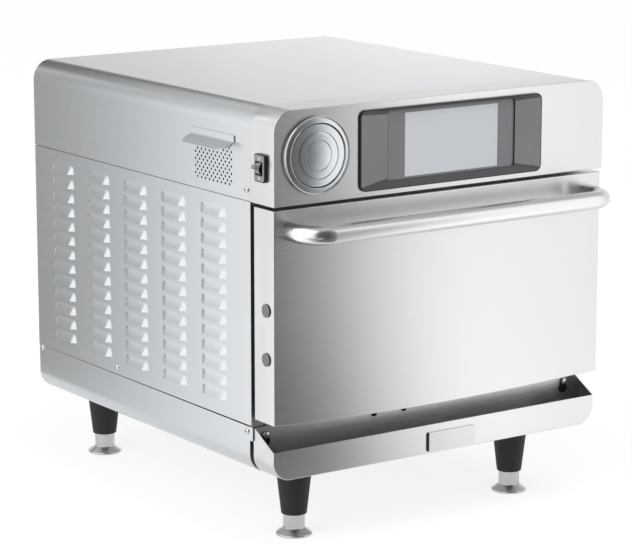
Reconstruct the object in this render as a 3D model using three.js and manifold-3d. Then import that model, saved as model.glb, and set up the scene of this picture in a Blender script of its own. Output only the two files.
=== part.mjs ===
// A countertop speed oven on four legs, built from the pieces that it comes apart into.
// X runs across the oven, Y from its face to its back and Z up. All lengths are in millimetres.
import * as THREE from "three";
import { ConvexGeometry } from "three/addons/geometries/ConvexGeometry.js";
import { mergeVertices } from "three/addons/utils/BufferGeometryUtils.js";
import Module from "manifold-3d";

// Outer body
const bodyWidth = 538;
const bodyHeight = 584;
const bodyDepth = 618;
const legHeight = 102;
const cornerRadius = 28;
const sheet = 1.2;
const seatGap = 0.3;
const runningGap = 0.6;
const cutOverrun = 2;
const consoleDepth = 54;
const consoleHeight = 122;
const baseHeight = 65.6;
const lapDepth = 8;

// Louvres punched out of the side panels
const louvreColumns = 5;
const louvreRows = 13;
const louvreLength = 59;
const louvreRiseShare = 0.6355;
const louvreReach = 5;
const louvreEndRun = 13;
const louvreTopInset = 4;
const firstLouvreFront = 113;
const firstLouvreDrop = 16.1;
const lastLouvreBack = 51.2;
const lastLouvreLift = 21.5;

// Vent holes in the cover and the hood over them
const ventColumns = 19;
const ventRows = 6;
const ventPitchY = 4.75;
const ventPitchZ = 9.4;
const ventHoleRadius = 1.9;
const ventFront = 98.3;
const ventDrop = 54.5;
const hoodFront = 90;
const hoodLength = 102.5;
const hoodFoldDrop = 50.5;
const hoodFlange = 9;
const hoodReach = 20;
const hoodDrop = 8;
const hoodSheet = 1;
const hoodCornerRadius = 13;
const ventDuctDepth = 42;
const ventDuctMargin = 6;

// Touch screen in its bezel
const bezelLeftInset = 131;
const bezelRightInset = 109.7;
const bezelLift = 7;
const bezelDrop = 9.7;
const bezelProud = 6;
const bezelRim = 1.2;
const bezelCornerRadius = 9;
const bezelWall = 2.6;
const bezelDepth = 26;
const apertureSetback = 3.5;
const apertureSide = 43.6;
const apertureBottom = 10.2;
const apertureTop = 3.8;
const apertureRadius = 3;
const glassSetback = 8;
const glassThickness = 3;
const glassLap = 1.5;
const displayThickness = 12;
const displayInset = 3;

// Round medallion and the plate on the trough
const medallionInset = 64;
const medallionDrop = 60.5;
const medallionRadius = 49.8;
const medallionProud = 10;
const medallionRimWidth = 5;
const medallionGroove = 3.5;
const medallionGrooveDepth = 4;
const medallionDomeShare = 0.78;
const medallionDomeRise = 1;
const badgeLeft = -21.5;
const badgeRight = 58;
const badgeLift = 3;
const badgeHeight = 26;
const badgeThickness = 1.5;

// Power switch on the console's side
const switchFront = 13;
const switchLength = 21.5;
const switchLift = 28;
const switchHeight = 36.4;
const switchProud = 7.6;
const switchBody = 24;
const switchWall = 3;
const switchSlotLength = 8;
const switchSlotHeight = 17;
const leverTilt = 13;
const leverRootRadius = 2.2;
const leverTipRadius = 3;
const leverReach = 14.5;
const leverPivotDepth = 1.5;

// Base, trough and feet
const baseSheet = 1.5;
const troughFront = 5.9;
const troughSideGap = 1.8;
const troughLipHeight = 40.1;
const troughBackHeight = 63.5;
const troughSlopeEnd = 46.3;
const troughBack = 52;
const footInset = 86.3;
const frontFootY = 83.9;
const rearFootInset = 36.7;
const legTopRadius = 25;
const legBottomRadius = 17;
const legBottom = 29;
const legFlange = 6;
const footRadius = 24.5;
const footEdge = 2.5;
const footDome = 7.5;
const neckRadius = 14.5;
const neckInside = 34;
const stemRadius = 6;
const stemInside = 22;
const thumbInset = 22;
const thumbLift = 50;
const thumbRadius = 7;
const thumbLength = 9;
const thumbChamfer = 1.6;
const thumbSlot = 1.2;

// Oven cavity and what stands in it
const cavitySide = 72;
const cavityLift = 50.4;
const cavityDrop = 42;
const roomBehindCavity = 193.9;
const linerSheet = 1.2;
const frameSheet = 1.5;
const frameFlange = 12;
const ledgeWidth = 9;
const ledgeThickness = 2;
const lowerPlateLift = 22;
const rackLift = 33;
const upperPlateDrop = 18;
const plateSheet = 1.5;
const plateLip = 10;
const nozzleRadius = 9;
const upperNozzleRows = 3;
const upperNozzleColumns = 4;
const lowerNozzleRows = 3;
const lowerNozzleColumns = 3;
const nozzleMarginShare = 0.14;
const rackBar = 2.5;
const rackWire = 1.6;
const rackWires = 7;
const insulationThickness = 24;
const returnWidth = 150;
const returnHeightShare = 0.6173;
const returnSlots = 7;
const returnSlotShare = 0.5;
const supplySlotHeight = 14;
const supplySlotWidth = 300;
const grilleMarginShare = 0.0617;
const grilleSheet = 1.5;

// Hot air blower behind the cavity
const blowerSide = 11;
const blowerOver = 2;
const blowerDepth = 78;
const catalystDepth = 14;
const wheelRadiusShare = 0.3663;
const wheelDepth = 40;
const wheelPlate = 1.5;
const wheelBlades = 6;
const wheelEyeShare = 0.62;
const wheelBladeThickness = 1.6;
const wheelBladeShare = 0.42;
const wheelBladeLean = 35;
const shaftRadius = 5;
const motorRadiusShare = 0.608;
const motorLength = 70;
const motorChamfer = 7;
const motorFlangeShare = 0.757;
const motorFlangeThickness = 4;
const heaterRadiusShare = 0.4356;
const heaterTube = 4;
const heaterGapAngle = 24;

// Microwave feed under the cavity
const waveguideWidth = 240;
const waveguideHeight = 43;
const waveguideFront = 180;
const roomBehindWaveguide = 182;
const waveguideSheet = 1.5;
const stirrerInset = 58;
const feedRadius = 14;
const stirrerRadius = 56;
const stirrerBlades = 4;
const stirrerBladeWidth = 22;
const stirrerSheet = 1.5;
const stirrerLift = 9;
const stirrerShaft = 4;
const stirrerHub = 10;
const stirrerPitch = 17;
const stirrerMotorRadius = 28;
const magnetronX = 62;
const magnetronWidth = 88;
const magnetronHeight = 72;
const magnetronLength = 92;
const magnetronPlate = 3;
const magnetronFins = 2;
const magnetronCoreRadius = 20;
const antennaRadius = 9;
const antennaReach = 16;
const antennaChamfer = 2.5;
const transformerSide = 83;
const transformerY = 130;
const transformerWidth = 88;
const transformerDepth = 104;
const transformerHeight = 74;
const transformerCoil = 56;
const transformerCoilProud = 12;
const transformerFoot = 3;

// Cooling fan, electronics and supply entry
const fanX = -150;
const fanLift = 3;
const fanSquare = 120;
const fanDepth = 38;
const fanBore = 57;
const fanHub = 20;
const fanBlades = 6;
const fanBladeShare = 0.93;
const fanBladeThickness = 2.2;
const fanBladePitch = 32;
const fanStrut = 5;
const fanPin = 3;
const shelfSheet = 1.2;
const shelfFlange = 12;
const boardWidth = 190;
const boardDepth = 150;
const boardFront = 120;
const boardThickness = 2;
const boardStandoff = 10;
const boardStandoffRadius = 4;
const boardParts = 3;
const boardPartHeight = 26;
const backInset = 3;
const backSlots = 7;
const glandX = 196;
const glandLift = 46.4;
const glandRadius = 15;
const glandCollar = 19;
const glandProud = 16;
const glandInside = 14;
const glandBore = 6.5;
const glandChamfer = 3;

// Door
const doorSideGap = 0.8;
const doorFace = 2.5;
const doorBack = 47;
const doorLift = 9.9;
const doorDrop = 3.6;
const doorPanelSheet = 1.5;
const chokeSide = 19;
const chokeOver = 6;
const chokeProud = 5.5;
const chokeRadius = 18;
const gasketWidth = 8;
const gasketProud = 6.5;
const gasketInset = 12;
const gasketLift = 3;
const hingeY = 24;
const hingeLift = 12.5;
const hingeArmInset = 32.2;
const hingeArmThickness = 5;
const hingeArmRadius = 8;
const hingePinRadius = 4;
const hingePinReach = 14;
const hingeCheek = 13.4;
const hingeFlangeWidth = 26;
const hingeFlangeThickness = 3;
const hingeFlangeDrop = 24;
const hingeSlotSide = 3;
const handleRadius = 12.3;
const handleInset = 13;
const handleFront = 60.5;
const handleDrop = 28.9;
const handleBend = 30;
const plugRadius = 9;
const plugY = 19.7;
const upperPlugLift = 149;
const lowerPlugLift = 85;
const plugProud = 1.6;
const plugInside = 6;

// Facets round each kind of curve
const cornerSteps = 3;
const bendSteps = 2;
const chamferSteps = 1;
const roundSides = 16;
const innerSides = 10;
const footSides = 10;
const handleSides = 14;
const handleSteps = 4;
const smallSides = 8;
const holeSides = 6;
const ventSides = 4;
const pathSteps = 22;
const gridPerMillimetre = 1000;

// Places worked out from the sizes above
const halfBody = bodyWidth / 2;
const upperSeam = bodyHeight - consoleHeight;
const lowerSeam = legHeight + baseHeight;
const lappedHalf = halfBody - sheet - seatGap;
const shellFront = consoleDepth + seatGap;
const consoleFace = 0;
const middleX = 0;
const frameFront = shellFront;
const frameBack = frameFront + frameSheet;
const linerFront = frameBack + seatGap;
const linerBack = bodyDepth - roomBehindCavity;
const backPanelY = bodyDepth - backInset;
const halfCavity = halfBody - cavitySide;
const halfLiner = halfCavity + linerSheet;
const cavityFloor = lowerSeam + cavityLift;
const cavityRoof = upperSeam - cavityDrop;
const cavityHeight = cavityRoof - cavityFloor;
const cavityMiddleZ = (cavityFloor + cavityRoof) / 2;
const lowerPlateZ = cavityFloor + lowerPlateLift;
const rackZ = cavityFloor + rackLift;
const upperPlateZ = cavityRoof - upperPlateDrop;
const returnHeight = (upperPlateZ - lowerPlateZ) * returnHeightShare;
const grilleMargin = (upperPlateZ - lowerPlateZ) * grilleMarginShare;
const insulationBottom = cavityFloor - linerSheet - seatGap - insulationThickness;
const insulationTop = cavityRoof + linerSheet + seatGap + insulationThickness;
const baseFloor = legHeight + baseSheet;
const blowerFront = linerBack + linerSheet + seatGap;
const blowerBack = blowerFront + blowerDepth;
const wheelRadius = cavityHeight * wheelRadiusShare;
const heaterRadius = cavityHeight * heaterRadiusShare;
const motorRadius = wheelRadius * motorRadiusShare;
const waveguideBack = bodyDepth - roomBehindWaveguide;
const stirrerY = waveguideFront + stirrerInset;
const transformerX = halfBody - transformerSide;
const fanZ = cavityMiddleZ + fanLift;
const glandZ = lowerSeam + glandLift;
const louvreRoomY = bodyDepth - lastLouvreBack - firstLouvreFront - louvreLength;
const louvrePitchY = louvreRoomY / (louvreColumns - 1);
const louvreRoomZ = upperSeam - seatGap - firstLouvreDrop - lowerSeam - lastLouvreLift;
const louvrePitchZ = louvreRoomZ / (louvreRows - 1 + louvreRiseShare);
const louvreRise = louvrePitchZ * louvreRiseShare;
const ventTop = bodyHeight - ventDrop;
const hoodBack = hoodFront + hoodLength;
const hoodFold = bodyHeight - hoodFoldDrop;
const bezelLeft = -halfBody + bezelLeftInset;
const bezelRight = halfBody - bezelRightInset;
const bezelBottom = upperSeam + bezelLift;
const bezelTop = bodyHeight - bezelDrop;
const medallionX = -halfBody + medallionInset;
const medallionZ = bodyHeight - medallionDrop;
const badgeBottom = legHeight + badgeLift;
const badgeTop = badgeBottom + badgeHeight;
const switchBottom = upperSeam + switchLift;
const troughHalf = halfBody - troughSideGap;
const troughLip = legHeight + troughLipHeight;
const troughBackTop = legHeight + troughBackHeight;
const footX = halfBody - footInset;
const rearFootY = bodyDepth - rearFootInset;
const thumbX = halfBody - thumbInset;
const thumbZ = legHeight + thumbLift;
const doorHalf = halfBody - doorSideGap;
const doorBottom = lowerSeam + doorLift;
const doorTop = upperSeam - doorDrop;
const chokeHalf = halfCavity + chokeSide;
const chokeLow = cavityFloor - chokeOver;
const chokeHigh = cavityRoof + chokeOver;
const hingeZ = doorBottom + hingeLift;
const hingeArmX = doorHalf - hingeArmInset;
const handleHalf = halfBody - handleInset;
const handleZ = doorTop - handleDrop;
const lowerPlugZ = doorBottom + lowerPlugLift;
const upperPlugZ = doorBottom + upperPlugLift;
const degree = Math.PI / 180;
const deepest = bodyDepth + glandProud;
const frontmost = consoleFace - handleFront;

const wasm = await Module();
wasm.setup();

// Closed three.js geometry to a solid that can be joined and cut. Its corners are put on a
// fine grid, so that faces meant to lie in one plane do.
function toSolid(geometry) {
  const bare = geometry.clone();
  bare.deleteAttribute("normal");
  bare.deleteAttribute("uv");
  const merged = mergeVertices(bare);
  const corners = merged.attributes.position.array;
  const mesh = new wasm.Mesh({
    numProp: 3,
    vertProperties: corners.map((value) => Math.round(value * gridPerMillimetre) / gridPerMillimetre),
    triVerts: Uint32Array.from(merged.index.array),
  });
  return new wasm.Manifold(mesh);
}

function toGeometry(solid) {
  const mesh = solid.getMesh();
  const geometry = new THREE.BufferGeometry();
  geometry.setAttribute("position", new THREE.BufferAttribute(mesh.vertProperties, 3));
  geometry.setIndex(new THREE.BufferAttribute(mesh.triVerts, 1));
  geometry.computeVertexNormals();
  return geometry;
}

const join = (solids) => solids.reduce((whole, solid) => whole.add(solid));
const range = (count) => [...Array(count).keys()];

function block(x0, x1, y0, y1, z0, z1) {
  const box = new THREE.BoxGeometry(Math.abs(x1 - x0), y1 - y0, z1 - z0);
  return toSolid(box.translate((x0 + x1) / 2, (y0 + y1) / 2, (z0 + z1) / 2));
}

// Outlines drawn in X and Z, run along Y
function alongY(outline, y0, y1, steps = cornerSteps) {
  const run = new THREE.ExtrudeGeometry(outline, {
    depth: y1 - y0,
    bevelEnabled: false,
    curveSegments: steps,
  });
  return toSolid(run.rotateX(Math.PI / 2).translate(0, y1, 0));
}

// Outlines drawn in Y and Z, run along X
function alongX(outline, x0, x1, steps = cornerSteps) {
  const run = new THREE.ExtrudeGeometry(outline, {
    depth: Math.abs(x1 - x0),
    bevelEnabled: false,
    curveSegments: steps,
  });
  const turn = new THREE.Matrix4().makeBasis(
    new THREE.Vector3(0, 1, 0),
    new THREE.Vector3(0, 0, 1),
    new THREE.Vector3(1, 0, 0),
  );
  return toSolid(run.applyMatrix4(turn).translate(Math.min(x0, x1), 0, 0));
}

// Outlines drawn in X and Y, run along Z
function alongZ(outline, z0, z1, steps = cornerSteps) {
  const run = new THREE.ExtrudeGeometry(outline, {
    depth: z1 - z0,
    bevelEnabled: false,
    curveSegments: steps,
  });
  return toSolid(run.translate(0, 0, z0));
}

function roundedRect(left, right, low, high, radius) {
  const outline = new THREE.Shape();
  outline.moveTo(left + radius, low);
  outline.absarc(right - radius, low + radius, radius, -Math.PI / 2, 0, false);
  outline.absarc(right - radius, high - radius, radius, 0, Math.PI / 2, false);
  outline.absarc(left + radius, high - radius, radius, Math.PI / 2, Math.PI, false);
  outline.absarc(left + radius, low + radius, radius, Math.PI, Math.PI * 1.5, false);
  return outline;
}

// Section of a plate with a flange at each side, as points in two directions
function channel(half, web, wall, tip) {
  return polygon([
    [-half, web],
    [half, web],
    [half, tip],
    [half - wall, tip],
    [half - wall, web + wall],
    [-half + wall, web + wall],
    [-half + wall, tip],
    [-half, tip],
  ]);
}

function polygon(points) {
  const outline = new THREE.Shape();
  points.forEach(([a, b], i) => (i ? outline.lineTo(a, b) : outline.moveTo(a, b)));
  return outline;
}

// Turned pieces: profiles of [radius, height] from one end of the axis to the other
function turned(profile, sides) {
  return new THREE.LatheGeometry(profile.map(([r, h]) => new THREE.Vector2(r, h)), sides);
}

const turnedZ = (profile, sides, x, y, z) =>
  toSolid(turned(profile, sides).rotateX(Math.PI / 2).translate(x, y, z));
const turnedY = (profile, sides, x, y, z) => toSolid(turned(profile, sides).translate(x, y, z));
const turnedX = (profile, sides, x, y, z) =>
  toSolid(turned(profile, sides).rotateZ(-Math.PI / 2).translate(x, y, z));

const drum = (radius, low, high) => [
  [0, low],
  [radius, low],
  [radius, high],
  [0, high],
];

// A run of the oven's rounded outline, drawn in at the sides and the top to a half width
function bodyRun(half, low, front, back) {
  const inset = halfBody - half;
  const high = bodyHeight - inset;
  return alongY(roundedRect(-half, half, low, high, cornerRadius - inset), front, back);
}

// All of the room round the oven from one height to another
function slab(low, high) {
  const reach = halfBody + cutOverrun;
  const front = consoleFace - cutOverrun;
  return block(-reach, reach, front, bodyDepth + cutOverrun, low, high);
}

const ovenBottom = legHeight - cutOverrun;
const ovenTop = bodyHeight + cutOverrun;

function makeTopCover() {
  const back = bodyDepth + cutOverrun;
  const outside = bodyRun(halfBody, legHeight, shellFront, bodyDepth);
  const inside = bodyRun(halfBody - sheet, legHeight + sheet, shellFront - cutOverrun, back);
  const below = slab(ovenBottom, upperSeam + seatGap);
  return outside.subtract(inside).subtract(below).subtract(ventHoles());
}

// Staggered vent holes: every second column drops by half a pitch
function ventHoles() {
  const holes = [];
  for (const column of range(ventColumns)) {
    const y = ventFront + column * ventPitchY;
    const drop = ((column % 2) * ventPitchZ) / 2;
    for (const row of range(ventRows)) {
      const z = ventTop - drop - row * ventPitchZ;
      const reach = sheet + cutOverrun;
      holes.push(turnedX(drum(ventHoleRadius, -cutOverrun, reach), ventSides, -halfBody, y, z));
    }
  }
  return join(holes);
}

// Folded hood: a flange on the cover and a flap that slopes out over the vent holes
function makeVentHood() {
  const wall = -halfBody - seatGap;
  const flange = block(
    wall - hoodSheet,
    wall,
    hoodFront,
    hoodBack,
    hoodFold,
    hoodFold + hoodFlange,
  );
  const slope = Math.atan2(hoodDrop, hoodReach);
  const flapLength = Math.hypot(hoodDrop, hoodReach);
  const flap = new THREE.Shape();
  flap.moveTo(0, hoodFront);
  flap.lineTo(0, hoodBack);
  flap.absarc(
    -flapLength + hoodCornerRadius,
    hoodBack - hoodCornerRadius,
    hoodCornerRadius,
    Math.PI / 2,
    Math.PI,
    false,
  );
  flap.absarc(
    -flapLength + hoodCornerRadius,
    hoodFront + hoodCornerRadius,
    hoodCornerRadius,
    Math.PI,
    Math.PI * 1.5,
    false,
  );
  const run = new THREE.ExtrudeGeometry(flap, {
    depth: hoodSheet,
    bevelEnabled: false,
    curveSegments: cornerSteps,
  });
  const sloped = toSolid(run.rotateY(-slope).translate(wall, 0, hoodFold));
  return flange.add(sloped);
}

// Duct behind the vent holes: a box that hangs on the cover and is open towards them
function makeVentDuct() {
  const left = -halfBody + sheet + seatGap;
  const right = left + ventDuctDepth;
  const front = ventFront - ventDuctMargin;
  const back = ventFront + (ventColumns - 1) * ventPitchY + ventDuctMargin;
  const bottom = upperSeam + lapDepth + seatGap;
  const top = ventTop + ventDuctMargin;
  const outer = block(left, right, front, back, bottom, top);
  const inner = block(
    left - cutOverrun,
    right - sheet,
    front + sheet,
    back - sheet,
    bottom + sheet,
    top - sheet,
  );
  return outer.subtract(inner);
}

// Console: a box with rounded upper corners, open towards the oven
function makeConsole() {
  const back = consoleDepth + cutOverrun;
  const outside = bodyRun(halfBody, legHeight, consoleFace, consoleDepth);
  const inside = bodyRun(halfBody - sheet, legHeight + sheet, consoleFace + sheet, back);
  const room = inside.subtract(slab(ovenBottom, upperSeam + sheet));
  const below = slab(ovenBottom, upperSeam);
  const neck = bezelNeck();
  const screenCut = block(
    neck.left - seatGap,
    neck.right + seatGap,
    consoleFace - cutOverrun,
    consoleFace + sheet + cutOverrun,
    neck.low - seatGap,
    neck.high + seatGap,
  );
  const opening = switchRoom();
  const switchCut = block(
    -halfBody - cutOverrun,
    -halfBody + sheet + cutOverrun,
    opening.front - seatGap,
    opening.back + seatGap,
    opening.low - seatGap,
    opening.high + seatGap,
  );
  return outside.subtract(room).subtract(below).subtract(screenCut).subtract(switchCut);
}

// Aperture of the bezel, and the neck that goes through the console round the glass
const aperture = () => ({
  left: bezelLeft + apertureSide,
  right: bezelRight - apertureSide,
  low: bezelBottom + apertureBottom,
  high: bezelTop - apertureTop,
});

function bezelNeck() {
  const hole = aperture();
  const spread = glassLap + seatGap + bezelWall;
  const vertical = Math.min(spread, apertureTop - bezelRim / 2);
  return {
    left: hole.left - spread,
    right: hole.right + spread,
    low: hole.low - spread,
    high: hole.high + vertical,
  };
}

// The rounded outline between four sides, as points in the plane at one Y
function flatRing(edges, radius, y) {
  const outline = roundedRect(edges.left, edges.right, edges.low, edges.high, radius);
  return outline.getPoints(cornerSteps).map((point) => new THREE.Vector3(point.x, y, point.y));
}

function makeBezel() {
  const hole = aperture();
  const neck = bezelNeck();
  const front = consoleFace - bezelProud;
  const rim = {
    left: bezelLeft + bezelRim,
    right: bezelRight - bezelRim,
    low: bezelBottom + bezelRim,
    high: bezelTop - bezelRim,
  };
  const plate = alongY(
    roundedRect(bezelLeft, bezelRight, bezelBottom, bezelTop, bezelCornerRadius),
    front,
    consoleFace - seatGap,
  );
  const tube = block(
    neck.left,
    neck.right,
    front + apertureSetback,
    consoleFace + bezelDepth,
    neck.low,
    neck.high,
  );
  const slope = toSolid(
    new ConvexGeometry([
      ...flatRing(rim, bezelCornerRadius - bezelRim, front - cutOverrun),
      ...flatRing(rim, bezelCornerRadius - bezelRim, front),
      ...flatRing(hole, apertureRadius, front + apertureSetback),
    ]),
  );
  const opening = alongY(
    roundedRect(hole.left, hole.right, hole.low, hole.high, apertureRadius),
    front - cutOverrun,
    consoleFace + bezelDepth + cutOverrun,
    bendSteps,
  );
  const seat = glassSeat();
  const pocket = block(
    seat.left - seatGap,
    seat.right + seatGap,
    seat.front - seatGap,
    consoleFace + bezelDepth + cutOverrun,
    seat.low - seatGap,
    seat.high + seatGap,
  );
  return plate.add(tube).subtract(slope).subtract(opening).subtract(pocket);
}

// The glass laps behind the aperture on both sides and below, and its top edge meets the neck
function glassSeat() {
  const hole = aperture();
  return {
    left: hole.left - glassLap,
    right: hole.right + glassLap,
    low: hole.low - glassLap,
    high: hole.high - seatGap,
    front: consoleFace - bezelProud + glassSetback,
  };
}

function makeGlass() {
  const seat = glassSeat();
  return block(
    seat.left,
    seat.right,
    seat.front,
    seat.front + glassThickness,
    seat.low,
    seat.high,
  );
}

function makeDisplay() {
  const seat = glassSeat();
  const front = seat.front + glassThickness + seatGap;
  const can = block(
    seat.left + displayInset * 2,
    seat.right - displayInset * 2,
    front + displayThickness / 2,
    front + displayThickness,
    seat.low + displayInset * 2,
    seat.high - displayInset * 2,
  );
  const panel = block(
    seat.left + displayInset,
    seat.right - displayInset,
    front,
    front + displayThickness / 2,
    seat.low + displayInset,
    seat.high - displayInset,
  );
  return can.add(panel);
}

// Chromed medallion: a raised rim, a groove inside it and a shallow dome
function makeMedallion() {
  const back = consoleFace - seatGap;
  const front = consoleFace - medallionProud;
  const rimInner = medallionRadius - medallionRimWidth;
  const grooveInner = rimInner - medallionGroove;
  const grooveFloor = front + medallionGrooveDepth;
  const profile = [
    [0, front],
    [grooveInner * medallionDomeShare, front + medallionDomeRise / 2],
    [grooveInner, front + medallionDomeRise],
    [grooveInner, grooveFloor],
    [rimInner, grooveFloor],
    [rimInner + medallionRimWidth / 3, front],
    [medallionRadius - medallionRimWidth / 3, front],
    [medallionRadius, front + medallionRimWidth / 2],
    [medallionRadius, back],
    [0, back],
  ];
  return turnedY(profile, roundSides, medallionX, 0, medallionZ);
}

function makeBadge() {
  const back = troughFront - seatGap;
  const plate = roundedRect(badgeLeft, badgeRight, badgeBottom, badgeTop, badgeThickness);
  return alongY(plate, back - badgeThickness, back, chamferSteps);
}

// Power switch: a box let into the console's side, with a slot for the toggle
const switchRoom = () => ({
  front: switchFront + switchWall / 2,
  back: switchFront + switchLength - switchWall / 2,
  low: switchBottom + switchWall,
  high: switchBottom + switchHeight - switchWall,
});

const switchMiddleY = switchFront + switchLength / 2;
const switchMiddleZ = switchBottom + switchHeight / 2;
const leverPivotX = -halfBody + leverPivotDepth;

function makeSwitchHousing() {
  const face = -halfBody - seatGap;
  const cap = alongX(
    roundedRect(
      switchFront,
      switchFront + switchLength,
      switchBottom,
      switchBottom + switchHeight,
      switchWall,
    ),
    -halfBody - switchProud,
    face,
    bendSteps,
  );
  const room = switchRoom();
  const body = block(
    face - switchWall / 2,
    -halfBody + switchBody,
    room.front,
    room.back,
    room.low,
    room.high,
  );
  const slot = block(
    -halfBody - switchProud - cutOverrun,
    leverPivotX + leverTipRadius + seatGap + switchWall,
    switchMiddleY - switchSlotLength / 2,
    switchMiddleY + switchSlotLength / 2,
    switchMiddleZ - switchSlotHeight / 2,
    switchMiddleZ + switchSlotHeight / 2,
  );
  return cap.add(body).subtract(slot);
}

// Toggle with a ball at its pivot, built lying along X and then tipped up
function makeSwitchLever() {
  const ballLength = switchSlotLength / 2 - seatGap;
  const ball = turned(drum(leverTipRadius, -ballLength, ballLength), smallSides);
  const bat = turned(
    [
      [0, 0],
      [leverRootRadius, 0],
      [leverRootRadius, leverReach / 2],
      [leverTipRadius, leverReach - leverTipRadius],
      [leverTipRadius, leverReach - leverTipRadius / 2],
      [leverTipRadius / 2, leverReach],
      [0, leverReach],
    ],
    smallSides,
  );
  bat.rotateZ(Math.PI / 2).rotateY(leverTilt * degree);
  const place = (geometry) => geometry.translate(leverPivotX, switchMiddleY, switchMiddleZ);
  return toSolid(place(ball)).add(toSolid(place(bat)));
}

// Hull of points that stand in pairs, one at each end of a louvre
function louvreHull(side, middleY, pairs) {
  const points = pairs.flatMap(([y, z, outward]) =>
    [-1, 1].map((end) => new THREE.Vector3(side * (halfBody + outward), middleY + end * y, z)),
  );
  return toSolid(new ConvexGeometry(points));
}

// Outside of a louvre: its root in the sheet and the lip that stands out from it
function louvreBump(side, middleY, low) {
  const half = louvreLength / 2;
  const high = low + louvreRise;
  return louvreHull(side, middleY, [
    [half, low, -sheet / 2],
    [half - louvreTopInset, high, -sheet / 2],
    [half, low, 0],
    [half - louvreTopInset, high, 0],
    [half - louvreEndRun, low, louvreReach],
  ]);
}

// Hollow of a louvre: a wedge that opens into the oven and out under the lip
function louvreHollow(side, middleY, low) {
  const half = louvreLength / 2 - sheet;
  const straight = louvreLength / 2 - louvreEndRun - sheet / 2;
  const rise = louvreRise - sheet;
  const reach = louvreReach - sheet;
  const depth = sheet + cutOverrun;
  const spread = 1 + depth / reach;
  return louvreHull(side, middleY, [
    [straight + (half - straight) * spread, low, -depth],
    [straight + (half - louvreTopInset - straight) * spread, low + rise * spread, -depth],
    [straight, low, reach],
  ]);
}

function makeSidePanel(side) {
  const outer = side * halfBody;
  const inner = side * (halfBody - sheet);
  const lapped = side * lappedHalf;
  const lappedInner = side * (lappedHalf - sheet);
  const top = upperSeam - seatGap;
  const wall = block(outer, inner, shellFront, bodyDepth, lowerSeam, top);
  const lapBack = backPanelY - sheet - seatGap;
  const step = block(outer, lappedInner, shellFront, lapBack, top - sheet * 2, top - sheet);
  const tongue = block(lapped, lappedInner, shellFront, lapBack, top - sheet * 2, top + lapDepth);
  const places = range(louvreColumns * louvreRows).map((i) => ({
    y: firstLouvreFront + louvreLength / 2 + (i % louvreColumns) * louvrePitchY,
    z: top - firstLouvreDrop - louvreRise - Math.floor(i / louvreColumns) * louvrePitchZ,
  }));
  const bumps = places.map(({ y, z }) => louvreBump(side, y, z));
  const hollows = places.map(({ y, z }) => louvreHollow(side, y, z));
  return wall.add(step).add(tongue).add(join(bumps)).subtract(join(hollows));
}

// Base pan: floor and four upstands, lapped inside the side panels
function makeBasePan() {
  const front = shellFront + baseSheet;
  const outside = bodyRun(lappedHalf, legHeight, shellFront, backPanelY);
  const inside = bodyRun(lappedHalf - baseSheet, baseFloor, front, backPanelY - baseSheet);
  const above = slab(lowerSeam + lapDepth, ovenTop);
  const lowFront = block(
    -halfBody,
    halfBody,
    shellFront - cutOverrun,
    front + seatGap,
    troughBackTop,
    ovenTop,
  );
  return outside.subtract(inside).subtract(above).subtract(lowFront);
}

function makeBackPanel() {
  const radius = cornerRadius - sheet - seatGap;
  const low = lowerSeam + lapDepth + seatGap;
  const high = bodyHeight - sheet - seatGap;
  const section = roundedRect(-lappedHalf, lappedHalf, legHeight, high, radius);
  const plate = alongY(section, backPanelY - sheet, backPanelY);
  const below = block(
    -halfBody,
    halfBody,
    backPanelY - sheet - cutOverrun,
    backPanelY + cutOverrun,
    legHeight - cutOverrun,
    low,
  );
  const slots = range(backSlots).map((i) => {
    const step = (fanBore * 2) / backSlots;
    const z = fanZ - fanBore + (i + 0.5) * step;
    const half = Math.sqrt(Math.max(fanBore ** 2 - (z - fanZ) ** 2, 0)) - step / 4;
    return block(
      fanX - half,
      fanX + half,
      backPanelY - sheet - cutOverrun,
      backPanelY + cutOverrun,
      z - step / 4,
      z + step / 4,
    );
  });
  const glandHole = turnedY(
    drum(glandRadius + seatGap, -sheet - cutOverrun, cutOverrun),
    innerSides,
    glandX,
    backPanelY,
    glandZ,
  );
  return plate.subtract(below).subtract(join(slots)).subtract(glandHole);
}

// Front frame round the cavity mouth, with flanges folded back along the side panels
function makeFrontFrame() {
  const low = troughBackTop + seatGap;
  const high = upperSeam + lapDepth;
  const half = lappedHalf;
  const tip = frameBack + frameFlange;
  const folded = alongZ(channel(half, frameFront, frameSheet, tip), low, high);
  const mouth = block(
    -halfCavity,
    halfCavity,
    frameFront - cutOverrun,
    frameBack + cutOverrun,
    cavityFloor,
    cavityRoof,
  );
  const foldLow = lowerSeam + lapDepth + seatGap;
  const foldHigh = upperSeam - seatGap - sheet * 2 - seatGap;
  const reach = half + cutOverrun;
  const notches = [-1, 1].flatMap((side) => [
    block(
      side * (half - frameSheet),
      side * reach,
      frameBack,
      tip + cutOverrun,
      low - cutOverrun,
      foldLow,
    ),
    block(
      side * (half - sheet - seatGap),
      side * reach,
      frameFront - cutOverrun,
      tip + cutOverrun,
      foldHigh,
      high + cutOverrun,
    ),
  ]);
  return folded.subtract(mouth).subtract(join(notches));
}

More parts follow.
